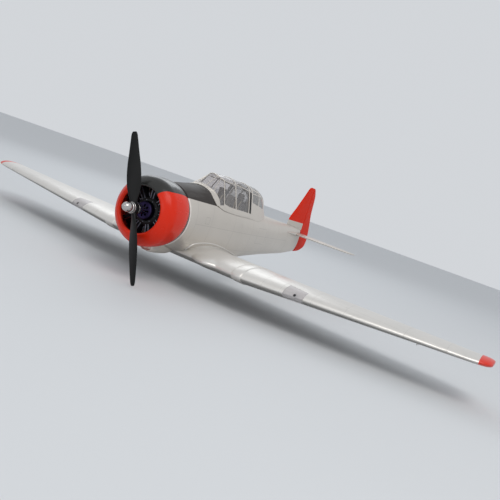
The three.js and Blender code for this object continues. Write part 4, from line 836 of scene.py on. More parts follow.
rod_slot = merged("rod_slot", [tube_data([e0, (e0 + e1) / 2, e1], 2.8, 16)])
rud_slot = block("rud_slot", (X(8.05), -TAIL_ARM - 6, Z(RUD_Z) - 0.9), (X(6.7), -TAIL_ARM + 3.6, Z(RUD_Z) + 4.6))
horn_notch = block("horn_notch", (X(8.05), -TAIL_ARM - 6, Z(RUD_Z) - 1.3), (X(7.92), -4.0, Z(RUD_Z) + 1.3))
boolean(outer, ("DIFFERENCE", inner), ("DIFFERENCE", cut_a), ("DIFFERENCE", wing_clear), ("DIFFERENCE", stab_slot), ("DIFFERENCE", rod_slot), ("DIFFERENCE", rud_slot), ("DIFFERENCE", horn_notch))
for side, tag in ((1, "left"), (-1, "right")):
    half = copy_of(outer, f"fuselage_{tag}_shell")
    keep = block("keep", (-600, min(side * 0.04, side * 80), -60), (400, max(side * 0.04, side * 80), 220))
    boolean(half, ("INTERSECT", keep))
    gone(keep)
    done(half, "airframe", silver_fus, [f"fuselage_{tag}_half"])
gone(outer, inner, cut_a, cut_b, stab_slot, rod_slot, rud_slot, horn_notch, wing_clear)

# rolled front edge of the fuselage behind the cowl; its pale colour is a painted highlight along the edge
rim_rings = []
for t in np.linspace(0, 2 * math.pi, 14, endpoint=False):
    g, a = 1.75 * math.cos(t) + 0.75, 1.95 * math.sin(t)
    rim_rings.append(fuselage_ring(0.9585, -g, 128) + np.array([a, 0, 0]))
rim = make("nose_rim_moulding", *loft_data(rim_rings, caps=False, closed_path=True))
done(rim, "airframe", rim_highlight_foam)

# wing root fillets: concave strip between the upper skin and the side
for side, tag in ((1, "left"), (-1, "right")):
    rings = []
    for s in np.linspace(1.66, 4.06, 70):
        u = (s - 1.66) / 2.40
        r = (3.5 + 9.0 * u ** 1.3) * min(1.0, 0.25 + (s - 1.66) * 3.0) * min(1.0, (4.10 - s) * 3.5 + 0.15)
        sw = min(s, 3.93)
        zt = Z(wing_top(sw)) - max(0.0, s - 3.93) * 6
        bulge = 0.0
        lat = (0.60 - 0.86) * K / 31.0
        dx = (X(s) - X(1.86)) / 37.0
        q = 1 - dx * dx - lat * lat
        if q > 0:
            bulge = max(0.0, Z(-0.628) + 10.2 * math.sqrt(q) - zt)
        zt = zt + bulge * 0.9
        yf = hull_half(s, (zt + r - THRUST_Z) / K) * K
        yw = hull_half(s, (zt - THRUST_Z) / K) * K
        row = []
        for a in np.linspace(0, math.pi / 2, 9):
            y = min(yf, yw) + (max(yw + r, yf) - min(yf, yw)) * (1 - math.cos(a))
            z = zt + r * (1 - math.sin(a)) + 0.35
            row.append((X(s), side * y, z))
        row.append((X(s), side * (yw + r), zt - 0.8))
        row.append((X(s), side * (yw - 2.5), zt - 0.8))
        row.append((X(s), side * (yf - 2.5), zt + r))
        rings.append(row)
    bead = [(1.66, -0.610), (1.58, -0.560), (1.545, -0.510), (1.545, -0.455), (1.60, -0.395), (1.74, -0.355), (1.96, -0.330), (2.30, -0.322), (2.62, -0.345), (2.95, -0.390), (3.25, -0.440), (3.60, -0.500), (4.00, -0.560)]
    curve = catmull(np.array([(s_, z_, 0.0) for s_, z_ in bead]), 8)
    path_ = [(X(s_), side * (hull_half(s_, z_) * K + 0.45), Z(z_)) for s_, z_, _ in curve]
    bo = merged(f"wing_root_bead_{tag}", [tube_data(path_, 1.55, 12, 0.70)])
    done(bo, "airframe", silver_root, angle=50)
    fil = loft(f"wing_root_fillet_{tag}", rings)
    done(fil, "airframe", silver_root, angle=50)

# ------------------------------------------------------------------ wing
done(wing_centre, "airframe", silver_wing, ["wing_centre_section"], 40)
AIL_Y0, AIL_Y1, AIL_U, HINGE_DROP, AIL_ARM = 3.75, 5.95, 0.765, 0.6, 14.0
LAMP_Y0, LAMP_Y1, LAMP_DEPTH = 2.57, 2.97, 0.26


def skin_point(y, u):
    s0, z0, c, k = wing_row(y)
    up = SECTION[:11][::-1]
    return np.array([X(s0 + u * c), y * K, Z(z0 + float(np.interp(u, up[:, 0], up[:, 1])) * c * k)])


COVER = ((1.515, 0.02), (1.525, 0.60), (1.54, 0.85), (1.62, 0.95), (1.705, 0.85), (1.725, 0.60), (1.735, 0.02))
tip_ys = [6.0 + 0.395 * math.sin(t) for t in np.linspace(0, math.pi / 2, 16)]
outer_ys = list(np.linspace(JOINT_Y + GAP / K, 5.97, 60)) + tip_ys
for side, tag in ((1, "left"), (-1, "right")):
    flip = np.array([1, side, 1])
    wing = loft(f"outer_wing_{tag}_fine", [wing_ring(y) * flip for y in outer_ys])
    m0, m1 = skin_point(AIL_Y0, AIL_U) * flip - [0, 0, HINGE_DROP], skin_point(AIL_Y1, AIL_U) * flip - [0, 0, HINGE_DROP]
    v1 = (m1 - m0) / np.linalg.norm(m1 - m0) * side
    v2 = np.array([-1.0, 0, 0]) - v1 * np.dot([-1.0, 0, 0], v1)
    v2 /= np.linalg.norm(v2)
    v3 = np.cross(v2, v1)
    v3 /= np.linalg.norm(v3)
    if v3[2] < 0:
        v3 = -v3
    mid, hl = (m0 + m1) / 2, np.linalg.norm(m1 - m0) / 2

    def to(u, v, w):
        return mid + v1 * u + v2 * v + v3 * w

    def prism(name, poly, u0, u1):
        return loft(name, [[to(u, v, w) for v, w in poly] for u in (u0, u1)])

    T = math.tan(math.radians(25))
    ail_cut = prism("ail_cut", [(0.15, 6), (0.15, 0), (0.15 + 14 * T, -14), (60, -14), (60, 6)], -hl + 0.25, hl - 0.25)
    bay_cut = prism("bay_cut", [(-0.15, 6), (-0.15, -14), (60, -14), (60, 6)], -hl - 0.25, hl + 0.25)
    u1 = 11.5 + 1.4
    aileron = copy_of(wing, f"aileron_{tag}_fine")
    horn_clear = prism("horn_clear", [(1.4, -24), (13.8, -24), (13.8, -1.1), (3.7, -1.1), (1.4, -6)], u1 - 1.3, u1 + 0.6)
    boolean(aileron, ("INTERSECT", ail_cut), ("DIFFERENCE", horn_clear))
    done(aileron, f"{tag}_aileron", silver_ribs, [f"{tag}_aileron"])
    le = wing_row(2.77)[0]
    ys_ = sorted((side * LAMP_Y0 * K, side * LAMP_Y1 * K))
    lamp_cut = block("lamp_cut", (X(le + LAMP_DEPTH), ys_[0], Z(-1)), (X(0.8), ys_[1], Z(0)))
    lens_cut = block("lens_cut", (X(le + LAMP_DEPTH - 0.006), ys_[0] + GAP, Z(-1)), (X(0.8), ys_[1] - GAP, Z(0)))
    lens = copy_of(wing, f"landing_light_lens_{tag}_fine")
    inner_w = loft("inner_w", [wing_ring(y, -1.0) * flip for y in np.linspace(2.3, 3.3, 12)])
    boolean(lens, ("INTERSECT", lens_cut), ("DIFFERENCE", inner_w))
    done(lens, "airframe", clear_lens, [f"{tag}_landing_light_lens"], 45)
    arm_v, arm_w = -36.0, -3.2
    sv, sw = (arm_v - 6 - GAP, arm_v + 17 + GAP), (arm_w - 6 - 8, arm_w + 6 + GAP)
    well = prism("well", [(sv[0], sw[0]), (sv[1], sw[0]), (sv[1], sw[1]), (sv[0], sw[1])], -11.5 - GAP, 11.5 + 3.2)
    notch = prism("notch", [(-8.5, -30), (-8.5, -9.6), (0.5, -8.0), (0.5, -30)], u1 - 1.8, u1 + 3.2)
    boolean(wing, ("DIFFERENCE", bay_cut), ("DIFFERENCE", lamp_cut), ("DIFFERENCE", well), ("DIFFERENCE", notch))
    done(wing, "airframe", silver_wing, [f"{tag}_outer_wing"], 38)
    gone(ail_cut, bay_cut, horn_clear, lamp_cut, lens_cut, inner_w, well, notch)
    # landing lamp: reflector bowl, bezel and bulb
    lc = np.array([X(le + 0.225), side * 2.77 * K, Z(-0.600)])
    x0 = X(le + LAMP_DEPTH) + GAP
    bowl = lathe_data([(x0, 0), (x0, 3.1), (x0 + 3.0, 4.0), (lc[0] + 5.2, 5.1), (lc[0] + 5.9, 5.0), (lc[0] + 5.6, 4.6), (x0 + 3.6, 2.6), (x0 + 1.8, 1.6), (x0 + 1.4, 0)],
                      n=40, centre=(0, lc[1], lc[2]))
    bulb = lathe_data([(x0 + 1.5, 0), (x0 + 1.5, 1.2), (x0 + 4.4, 2.0), (x0 + 6.0, 1.7), (x0 + 6.8, 0)], n=20, centre=(0, lc[1], lc[2]))
    lamp = merged(f"landing_lamp_{tag}_fine", [bowl])
    done(lamp, "airframe", alu, [f"{tag}_landing_lamp"])
    done(merged(f"landing_bulb_{tag}", [bulb]), "airframe", black_seal_and_shade)
    # raised cover over the panel joint
    rings = []
    for y, g in COVER:
        rings.append(wing_ring(y, g)[: 7 * 13 + 1] * flip)
    n = len(rings[0])
    top_v = np.concatenate(rings)
    low_v = np.concatenate([wing_ring(y, -0.4)[: 7 * 13 + 1] * flip for y, g in COVER])
    faces, off = [], len(top_v)
    for i in range(len(rings) - 1):
        for j in range(n - 1):
            a, b, c, d = i * n + j, i * n + j + 1, (i + 1) * n + j + 1, (i + 1) * n + j
            faces += [(a, b, c, d), (off + a, off + d, off + c, off + b)]
    for j in range(n - 1):
        e = (len(rings) - 1) * n
        faces += [(j, off + j, off + j + 1, j + 1), (e + j, e + j + 1, off + e + j + 1, off + e + j)]
    for i in range(len(rings) - 1):
        a, b = i * n, (i + 1) * n
        faces += [(a, b, off + b, off + a), (a + n - 1, off + a + n - 1, off + b + n - 1, b + n - 1)]
    cover = make(f"wing_joint_cover_{tag}", np.concatenate([top_v, low_v]), faces)
    done(cover, "airframe", silver_root, angle=50)

# ------------------------------------------------------------------ cowl, scoop, engine, motor, propeller
cowl_profile = [
    [0.215, 0.430], [0.180, 0.448], [0.165, 0.475], [0.180, 0.515], [0.225, 0.575], [0.290, 0.630], [0.380, 0.664], [0.480, 0.669], [0.650, 0.664],
    [0.800, 0.645], [0.930, 0.610]]
cowl_inner = [[0.930, 0.592], [0.790, 0.622], [0.640, 0.640], [0.480, 0.645], [0.385, 0.638], [0.305, 0.604], [0.250, 0.550], [0.225, 0.490]]
prof = np.concatenate([catmull(cowl_profile, 6), catmull(cowl_inner + [[0.215, 0.430]], 4)[:-1]])


def cowl_raise(x):
    return 0.03 * K * min(1.0, max(0.0, (X(0.40) - x) / (X(0.40) - X(0.93))))


cowl = lathe("cowl_fine", [(X(s), r * K) for s, r in prof], n=144, shift=cowl_raise)
done(cowl, "airframe", red_cowl, ["cowl"], 60)

SCOOP = [[0.74, 0.13, -0.585, -0.735], [0.80, 0.155, -0.57, -0.758], [1.00, 0.165, -0.55, -0.768], [1.25, 0.16, -0.55, -0.760], [1.50, 0.12, -0.55, -0.722], [1.62, 0.07, -0.60, -0.690]]


def scoop_ring(s, d=0.0, s_at=None):
    w, zt, zb = pchip(SCOOP, s)[0]
    h, k, b = zt - zb, w - d / K, zb + d / K
    out = []
    for j in range(33):
        t = math.pi * j / 32
        top = zb + h * 0.42
        out.append(P(s if s_at is None else s_at, k * math.copysign(abs(math.cos(t)) ** 0.85, math.cos(t)), top + (b - top) * math.sin(t) ** 0.85))
    out += [P(s if s_at is None else s_at, -k, zt), P(s if s_at is None else s_at, k, zt)]
    return out


scoop = loft("chin_scoop_fine", [scoop_ring(s) for s in np.linspace(0.74, 1.62, 40)])
mouth = loft("mouth", [scoop_ring(0.80, 1.8, 0.70), scoop_ring(0.80, 2.2, 0.752), scoop_ring(0.80, 4.0, 0.770)])
cowl_grown = lathe("cowl_grown", [(X(0.15), 0)] + [(X(s), r * K) for s, r in ([0.165, 0.478], [0.225, 0.580], [0.290, 0.634], [0.380, 0.668], [0.480, 0.6735], [0.650, 0.6685], [0.800, 0.6500], [0.935, 0.6150])] + [(X(0.935), 0)], n=96, shift=cowl_raise)
hull_grown = loft("hull_grown", [fuselage_ring(0.96, -GAP) + [0.3, 0, 0]] + [fuselage_ring(s, -GAP) for s in np.linspace(0.97, 2.3, 30)])
wing_clear2 = loft("wing_clear2", [wing_ring(y, GAP) for y in (-0.6, 0.0, 0.6)])
boolean(scoop, ("DIFFERENCE", mouth), ("DIFFERENCE", cowl_grown), ("DIFFERENCE", hull_grown), ("DIFFERENCE", wing_clear2))
gone(mouth, cowl_grown, hull_grown, wing_clear2)
done(scoop, "airframe", silver, ["chin_scoop"], 40)

# dummy nine-cylinder radial: crankcase, finned cylinders, rocker boxes, push rod tubes
ex0, ex1 = X(0.62), X(0.40)
crank = lathe_data([(ex0, 15.2), (ex0, 24.0), (ex1 - 5, 23.2), (ex1 - 3.2, 22.0), (ex1 - 2.4, 20.4), (ex1 - 1.0, 20.0), (ex1, 18.4), (ex1, 15.2)], n=108)
dark_parts, fin_parts, tube_parts, box_parts = [crank], [], [], []
cxm = (ex0 + ex1) / 2 - 1


def radial(angle):
    """Frame at the engine axis: local Z outward along a cylinder, local X forward."""
    return Matrix.Translation((cxm, 0, THRUST_Z)) @ Matrix.Rotation(-angle, 4, "X")


for i in range(9):
    M = radial(2 * math.pi * i / 9)
    prof_c = [(19.5, 0), (19.5, 6.2)]
    for f in range(13):
        z = 23.0 + f * 1.55
        prof_c += [(z, 5.7), (z + 0.15, 7.3), (z + 0.75, 7.3), (z + 0.90, 5.7)]
    prof_c += [(43.6, 5.6), (44.0, 0)]
    v, f = lathe_data(prof_c, n=28, axis="Z", centre=(0, 0, 0))
    fin_parts.append(moved((v, f), M))
    box_parts.append(moved(rounded_box_data((-5.2, -4.4, 42.8), (4.6, 4.4, 47.6), 1.5), M))
    for sy in (-1, 1):
        tube_parts.append(moved(tube_data([(7.0, sy * 2.2, 19.0), (7.4, sy * 2.9, 32.0), (6.0, sy * 3.3, 44.6)], 0.75, 10), M))
        box_parts.append(moved(lathe_data([(43.2, 0), (43.2, 1.5), (46.2, 1.5), (46.8, 0.9), (46.8, 0)], n=14, axis="Z", centre=(5.2, sy * 3.3, 0)), M))
    N = radial(2 * math.pi * (i + 0.5) / 9)
    tube_parts.append(moved(lathe_data([(ex1 - cxm - 1.4, 0), (ex1 - cxm - 1.4, 0.9), (ex1 - cxm + 0.1, 0.9), (ex1 - cxm + 0.4, 0.6), (ex1 - cxm + 0.4, 0)], n=6, axis="X", centre=(0, 0, 17.0)), N))
    tube_parts.append(moved(tube_data([(2.0, 0, 22.5), (3.6, 0, 27), (2.2, 0, 33)], 0.55, 8), N))
engine = merged("engine_crankcase", dark_parts + box_parts)
done(engine, "airframe", eng_dark, ["dummy_radial_engine"], 40)
fins_o = merged("engine_cylinder_fins", fin_parts)
done(fins_o, "airframe", eng_fin, angle=40)
tubes_o = merged("engine_pushrod_tubes", tube_parts)
done(tubes_o, "airframe", eng_tube, angle=40)

# motor mount and motor
mountX = X(1.06) + 3 + GAP
motX = mountX + 14 + GAP
bell0, bell1 = motX + 3.6, X(0.300)
bell_prof = [(bell0, 12.6), (bell0 + 0.3, 13.8), (bell0 + 0.8, 14.0)]
for g in range(6):
    a = bell0 + 5 + g * 4.4
    bell_prof += [(a, 14.0), (a + 0.3, 13.7), (a + 0.9, 13.7), (a + 1.2, 14.0)]
bell_prof += [(bell1 - 1.8, 14.0), (bell1 - 0.8, 13.3), (bell1 - 0.2, 11.9), (bell1, 11.0), (bell1, 2.4), (bell1 - 2.4, 2.4), (bell1 - 2.4, 10.4), (bell1 - 3.6, 12.6)]
bell = lathe("motor_bell_fine", bell_prof, n=72)
vents = []
for i in range(8):
    R_ = Matrix.Translation((0, 0, THRUST_Z)) @ Matrix.Rotation(2 * math.pi * i / 8, 4, "X")
    vents.append(moved(rounded_box_data((bell1 - 4.5, -1.5, 5.6), (bell1 + 1.5, 1.5, 9.6), 0.7, 2), R_))
vent_o = merged("vents", vents)
boolean(bell, ("DIFFERENCE", vent_o))
gone(vent_o)
done(bell, "propeller_group", alu_dark, ["motor_bell"])

hubX0, hubX1 = X(0.052), X(-0.052)
adapter_prof = [(motX + 1.5, 0), (motX + 1.5, 2.0), (bell1 + GAP, 2.0), (bell1 + GAP, 6.2), (bell1 + GAP + 0.3, 6.5), (bell1 + 6.6, 6.5), (bell1 + 7.2, 6.8),
                (hubX0 - GAP - 2.9, 8.0), (hubX0 - GAP - 2.4, 8.2), (hubX0 - GAP - 0.3, 8.2), (hubX0 - GAP, 7.9), (hubX0 - GAP, 2.9), (hubX1 + 8.9, 2.9), (hubX1 + 9.0, 0)]
done(lathe("propeller_adapter_fine", adapter_prof, n=64), "propeller_group", alu, ["propeller_adapter"])

R_PROP = 114.5
BLADE = [[5, 8.6, 7.0, 38], [14, 12.6, 5.8, 34], [22, 17.0, 4.5, 31], [34, 20.8, 3.4, 27], [48, 21.8, 2.8, 22.5], [64, 20.4, 2.3, 18.5], [82, 16.4, 1.9, 15],
         [98, 12.9, 1.5, 12.5], [109, 10.4, 1.2, 11.5], [R_PROP, 9.0, 1.0, 11]]
phase = Matrix.Translation((0, 0, THRUST_Z)) @ Matrix.Rotation(math.radians(21.7), 4, "X")


def blade_data(direction):
    rings = []
    rs = list(np.linspace(5, 108, 60)) + [108 + 6.5 * math.sin(t) for t in np.linspace(0.12, math.pi / 2, 9)]
    for r in rs:
        c, t, deg = pchip(BLADE, r)[0]
        if r > 108:
            q = (r - 108) / 6.5
            c *= 0.52 + 0.48 * math.sqrt(max(0.0, 1 - q * q)) if q < 1 else 0.52
            t *= 0.35 + 0.65 * math.sqrt(max(0.0, 1 - q * q))
        a = math.radians(deg)
        row = []
        for j in range(40):
            q = 2 * math.pi * j / 40
            u = math.cos(q) * c / 2
            v = math.sin(q) * t / 2 * (1 - 0.25 * math.cos(q)) + 0.035 * c * (1 - (2 * u / c) ** 2) * (r / R_PROP) * 0.6
            tang, ax = u * math.cos(a) + v * math.sin(a), -u * math.sin(a) + v * math.cos(a)
            row.append((ax + (hubX0 + hubX1) / 2, direction * tang, direction * r))
        rings.append(row)
    v, f = loft_data(rings)
    return moved((v, f), phase)


hub_prof = [(hubX0, 3.2), (hubX0, 8.0), (hubX0 + 0.5, 8.6), (hubX1 - 0.5, 8.6), (hubX1, 8.0), (hubX1, 3.2)]
prop = make("propeller_fine", *lathe_data(hub_prof, n=64))
b1, b2 = make("b1", *blade_data(1)), make("b2", *blade_data(-1))
bore = lathe("bore", [(hubX0 - 2, 0), (hubX0 - 2, 3.2), (hubX1 + 2, 3.2), (hubX1 + 2, 0)], n=64)
boolean(prop, ("UNION", b1), ("UNION", b2), ("DIFFERENCE", bore))
gone(b1, b2, bore)
done(prop, "propeller_group", prop_black, ["propeller"], 50)

wx = hubX1 + GAP
done(lathe("propeller_washer_fine", [(wx, 3.2), (wx, 8.2), (wx + 0.3, 8.5), (wx + 1.5, 8.5), (wx + 1.8, 8.2), (wx + 1.8, 3.2)], n=64), "propeller_group", alu, ["propeller_washer"])
nx = wx + 1.8 + GAP
nut_curve = [(nx + 5.8, 7.7), (nx + 8.0, 7.65), (nx + 10.0, 7.35), (nx + 12.0, 6.85), (nx + 13.8, 6.1), (nx + 15.6, 4.85), (nx + 17.0, 3.3), (nx + 18.0, 1.6), (nx + 18.35, 0.0)]
nut_prof = [(nx, 3.2), (nx, 7.2), (nx + 0.3, 7.6), (nx + 0.8, 7.9), (nx + 3.1, 7.9), (nx + 3.6, 7.6), (nx + 4.0, 7.0), (nx + 5.0, 7.0), (nx + 5.4, 7.4)] + [tuple(p) for p in catmull(nut_curve, 5)[:-1]] + [(nx + 18.35, 0), (nx + 8.4, 0), (nx + 8.4, 3.2)]
nut = lathe("spinner_nut_fine", nut_prof, n=72)
done(nut, "propeller_group", alu, ["spinner_nut"], 40)

# ------------------------------------------------------------------ tail
SYM = [[1, 0.10], [0.75, 0.62], [0.45, 0.98], [0.22, 0.92], [0.07, 0.60], [0.0, 0.0], [0.07, -0.60], [0.22, -0.92], [0.45, -0.98], [0.75, -0.62], [1, -0.10]]
SYMF = catmull(SYM, 6)
STAB = [[0.00, 7.36, 1.30, 3.4], [0.35, 7.42, 1.25, 3.4 * 0.97], [1.50, 7.64, 0.86, 3.4 * 0.72], [1.68, 7.70, 0.72, 3.4 * 0.62], [1.77, 7.79, 0.54, 3.4 * 0.5], [1.802, 7.92, 0.30, 3.4 * 0.36]]


def stab_row(y):
    y = abs(y)
    if y <= 1.5:
        r = np.array(STAB)
        return [float(np.interp(y, r[:, 0], r[:, k])) for k in (1, 2, 3)]
    rows = [[math.asin(min(1.0, (w[0] - 1.5) / 0.302)), *w[1:]] for w in STAB[2:]]
    return list(pchip(rows, math.asin(min(1.0, (y - 1.5) / 0.302)))[0])


def stab_ring(y):
    s0, c, t = stab_row(y)
    return np.stack([(S_ORIGIN - s0 - SYMF[:, 0] * c) * K, np.full(len(SYMF), y * K), Z(STAB_Z) + SYMF[:, 1] * t], 1)


tip_y = [1.5 + 0.302 * math.sin(t) for t in np.linspace(0, math.pi / 2, 14)]
half_ys = list(np.linspace(0.0, 1.47, 24)) + tip_y
stab = loft("stabiliser_fine", [stab_ring(-y) for y in half_ys[:0:-1]] + [stab_ring(y) for y in half_ys])
cut = block("cut", (hx - 80, -200, 0), (hx + 0.25, 200, 200))
whole = copy_of(stab, "whole")
boolean(stab, ("DIFFERENCE", cut))
gone(cut)
done(stab, "airframe", silver, ["stabiliser"], 40)
for side, tag in ((1, "left"), (-1, "right")):
    rings = []
    for s in np.linspace(6.70, 7.98, 44):
        u = (s - 6.70) / 1.28
        t_ = 3.9 * min(1.0, 0.10 + 1.9 * u) * min(1.0, 0.55 + (1 - u) * 1.6)
        out_ = 4.6 * min(1.0, 0.10 + 2.1 * u) * min(1.0, 0.35 + (1 - u) * 2.2)
        y0 = hull_half(s, STAB_Z) * K
        rings.append([(X(s), side * (y0 - 2.6), Z(STAB_Z) - t_)] + [(X(s), side * (y0 - 2.6 + (out_ + 2.6) * math.sin(a)), Z(STAB_Z) - t_ * math.cos(a)) for a in np.linspace(0.35, math.pi - 0.35, 13)] + [(X(s), side * (y0 - 2.6), Z(STAB_Z) + t_)])
    fo = loft(f"stabiliser_root_fairing_{tag}", rings)
    done(fo, "airframe", silver, angle=50)
TT = math.tan(math.radians(28))


def vee(g, h, back):
    return [(g, 0), (g + h * TT, h), (back, h), (back, -h), (g + h * TT, -h)]


joint_bore = merged("joint_bore", [tube_data([(hx - 1.4, -24, Z(STAB_Z)), (hx - 1.4, 0, Z(STAB_Z)), (hx - 1.4, 24, Z(STAB_Z))], 1.3, 16)])
for side, tag in ((1, "left"), (-1, "right")):
    e = copy_of(whole, f"elevator_{tag}_fine")
    vp = loft("vp", [[(hx - u, y, Z(STAB_Z) + v) for u, v in vee(0.25, 8, 70)] for y in (side * 2, side * 160)])
    ie = loft("ie", [[(hx + 5, side * 0.10 * K, z), (hx - 1, side * 0.10 * K, z), (hx - 60, side * 0.51 * K, z), (hx - 60, side * 2 * K, z), (hx + 5, side * 2 * K, z)] for z in (Z(STAB_Z) - 20, Z(STAB_Z) + 20)])
    steps = [("INTERSECT", vp), ("INTERSECT", ie), ("DIFFERENCE", joint_bore)]
    if side < 0:
        hc = block("hc", (hx - 11.3, -0.27 * K - 1.0, Z(STAB_Z) - 10), (hx - 1.6, -0.27 * K + 1.0, Z(STAB_Z) - 0.9))
        steps.append(("DIFFERENCE", hc))
    boolean(e, *steps)
    gone(vp, ie)
    if side < 0:
        gone(hc)
    done(e, "elevator", silver_ribs, [f"{tag}_elevator"], 40)
gone(whole, joint_bore)


def fin_half(z):
    return float(np.interp(z, [-0.3, 0.45, 1.0, 1.68], [6.0, 4.0, 3.2, 1.5]))


fin_rings = []
for z in list(np.linspace(0.40, 1.60, 40)) + [1.60 + 0.075 * math.sin(t) for t in np.linspace(0.1, math.pi / 2, 10)]:
    le = float(pchip([[0.40, 6.98], [0.60, 7.00], [1.00, 7.284], [1.40, 7.568], [1.615, 7.72], [1.655, 7.78], [1.675, 7.86]], z)[0][0])
    q = max(0.0, (z - 1.60) / 0.075)
    t, c = fin_half(z) * (0.45 + 0.55 * math.sqrt(max(0.0, 1 - q * q))), HINGE_S - 0.006 - le
    row = catmull([[1, t], [0.8, t], [0.6, t], [0.3, t * 0.88], [0.1, t * 0.55], [0, 0], [0.1, -t * 0.55], [0.3, -t * 0.88], [0.6, -t], [0.8, -t], [1, -t]], 5)
    fin_rings.append([(X(le + u * c), v, Z(z)) for u, v in row])
fin = loft("fin_fine", fin_rings)
hullc = loft("hullc", [fuselage_ring(s, -GAP, 96) for s in np.linspace(6.40, 8.0, 20)] + [fuselage_ring(8.0, -GAP, 96) - [6, 0, 0]])
slotc = block("slotc", (X(8.3), -10, Z(0.30)), (X(7.2), 10, Z(STAB_Z) + STAB_T + GAP))
boolean(fin, ("DIFFERENCE", hullc), ("DIFFERENCE", slotc))
gone(hullc, slotc)
done(fin, "airframe", red_fin, ["fin"], 40)

TE = [[-0.255, 8.18], [-0.24, 8.36], [-0.17, 8.62], [-0.06, 8.82], [0.10, 8.867], [0.35, 8.80], [0.60, 8.68], [0.95, 8.50], [1.46, 8.345], [1.60, 8.235], [1.65, 8.19], [1.676, 8.14]]
rud_rings = []
for z in sorted(set(list(np.linspace(-0.255, 1.62, 70)) + [-0.25, -0.245, -0.235] + [1.62 + 0.056 * math.sin(t) for t in np.linspace(0.1, math.pi / 2, 8)])):
    c = float(pchip(TE, z)[0][0]) - HINGE_S
    t = (5.2 + (4.0 - 5.2) * (z + 0.255) / 0.7) if z < 0.45 else fin_half(z)
    if z < -0.2:
        t *= 0.60 + 0.40 * (z + 0.255) / 0.055
    q = max(0.0, (z - 1.62) / 0.056)
    m_ = min(t, c * K * 0.5) * (0.45 + 0.55 * math.sqrt(max(0.0, 1 - q * q)))
    row = [(1, m_ * 0.12), (0.8, m_ * 0.34), (0.6, m_ * 0.55), (0.4, m_ * 0.76), (0.25, m_ * 0.9), (0.1, m_ * 0.98), (0, m_), (0, -m_), (0.1, -m_ * 0.98), (0.25, -m_ * 0.9), (0.4, -m_ * 0.76), (0.6, -m_ * 0.55), (0.8, -m_ * 0.34), (1, -m_ * 0.12)]
    rud_rings.append([(X(HINGE_S + u * c), v, Z(z)) for u, v in row])
rudder = loft("rudder_fine", rud_rings)
rvee = loft("rvee", [[(hx - u, v, z) for u, v in vee(0.25, 8, 80)] for z in (Z(-0.4), Z(1.8))])
rcyl = lathe("rcyl", [(Z(STAB_Z) - 5.0, 0), (Z(STAB_Z) - 5.0, 8.15), (Z(STAB_Z) + 5.0, 8.15), (Z(STAB_Z) + 5.0, 0)], n=48, axis="Z", centre=(hx, 0, 0))
rz = Z(RUD_Z)
rhc = block("rhc", (hx - 12.3, -9, rz - 1.0), (hx - 2.6, -0.9, rz + 1.0))
boolean(rudder, ("INTERSECT", rvee), ("DIFFERENCE", rcyl), ("DIFFERENCE", rhc))
gone(rvee, rcyl, rhc)
done(rudder, "rudder", red_rudder, ["rudder"], 40)

# ------------------------------------------------------------------ canopy
FOOT = [[2.160, 0.479, 0.450], [2.100, 0.415, 0.595], [2.020, 0.305, 0.698], [1.965, 0.200, 0.743], [1.940, 0.100, 0.770], [1.938, 0.000, 0.778]]
RIM = [[2.020, 0.474, 0.475], [1.900, 0.410, 0.584], [1.886, 0.300, 0.683], [1.886, 0.170, 0.735], [1.886, 0.080, 0.752], [1.886, 0.000, 0.755]]
HOOP = [[2.360, 0.482, 0.412], [2.400, 0.330, 0.760], [2.430, 0.200, 1.010], [2.370, 0.150, 1.032], [2.305, 0.100, 1.054], [2.285, 0.000, 1.082]]
CANOPY = [[2.60, 0.208, 1.005, 1.104], [2.95, 0.220, 1.010, 1.106], [3.55, 0.245, 0.980, 1.100], [4.20, 0.235, 0.930, 1.085], [4.60, 0.190, 0.850, 1.008],
          [4.92, 0.120, 0.690, 0.870], [5.07, 0.070, 0.545, 0.575]]
GLASS_END, SKIN = 3.78, 1.2


def canopy_half(s):
    wr, zr, zt = pchip(CANOPY, s)[0]
    zb = sill_z(s) + GAP / K
    wb = max(hull_half(s, zb), wr + 0.01)
    return np.array([[s, wb, zb], [s, (wb + wr) / 2 + 0.006, (zb + zr) / 2], [s, wr, zr], [s, wr * 0.78, zr + (zt - zr) * 0.55], [s, wr * 0.42, zr + (zt - zr) * 0.9], [s, 0, zt]])




def control(a):
    """Half ring of control points: a 0 to 1 runs over the windshield, beyond that a is the station."""
    foot, hoop = np.array(FOOT), np.array(HOOP)
    if a <= 1.0:
        return foot + (hoop - foot) * a
    if a < 2.60:
        t = (a - 2.0) / 0.60
        t = max(0.0, min(1.0, t))
        return hoop + (canopy_half(2.60) - hoop) * t
    return canopy_half(a)


def full_ring(a, per=10):
    h = control(a)
    m = h[:-1][::-1].copy()
    m[:, 1] *= -1
    pts = np.concatenate([h, m])
    if a <= 1.0:
        # flat-sided windshield panels: straight between posts, softened a little at the base
        seg = []
        for i in range(len(pts) - 1):
            for j in range(per):
                seg.append(pts[i] + (pts[i + 1] - pts[i]) * j / per)
        seg.append(pts[-1])
        straight = np.array(seg)
        smooth = catmull(pts, per)
        pts = straight * 0.35 + smooth * 0.65
    else:
        pts = catmull(pts, per)
    return np.stack([X(pts[:, 0]), pts[:, 1] * K, THRUST_Z + pts[:, 2] * K], 1)


front_as = list(np.linspace(0, 1, 14))
mid_as = list(np.linspace(2.06, 2.60, 9))
aft_as = [a for a in np.linspace(2.60, GLASS_END, 30)][1:]
glass_as = front_as + mid_as + aft_as
GR = np.array([full_ring(a) for a in glass_as])          # rings x points x 3
fair_as = list(np.linspace(GLASS_END + GAP / K, 5.07, 44))
FR = np.array([full_ring(a) for a in fair_as])


def grid_normals(G):
    du = np.gradient(G, axis=0)
    dv = np.gradient(G, axis=1)
    n = np.cross(du, dv)
    n /= np.maximum(np.linalg.norm(n, axis=2), 1e-9)[:, :, None]
    mid_i, top = G.shape[0] // 2, G.shape[1] // 2
    if n[mid_i, top, 2] < 0:
        n = -n
    return n


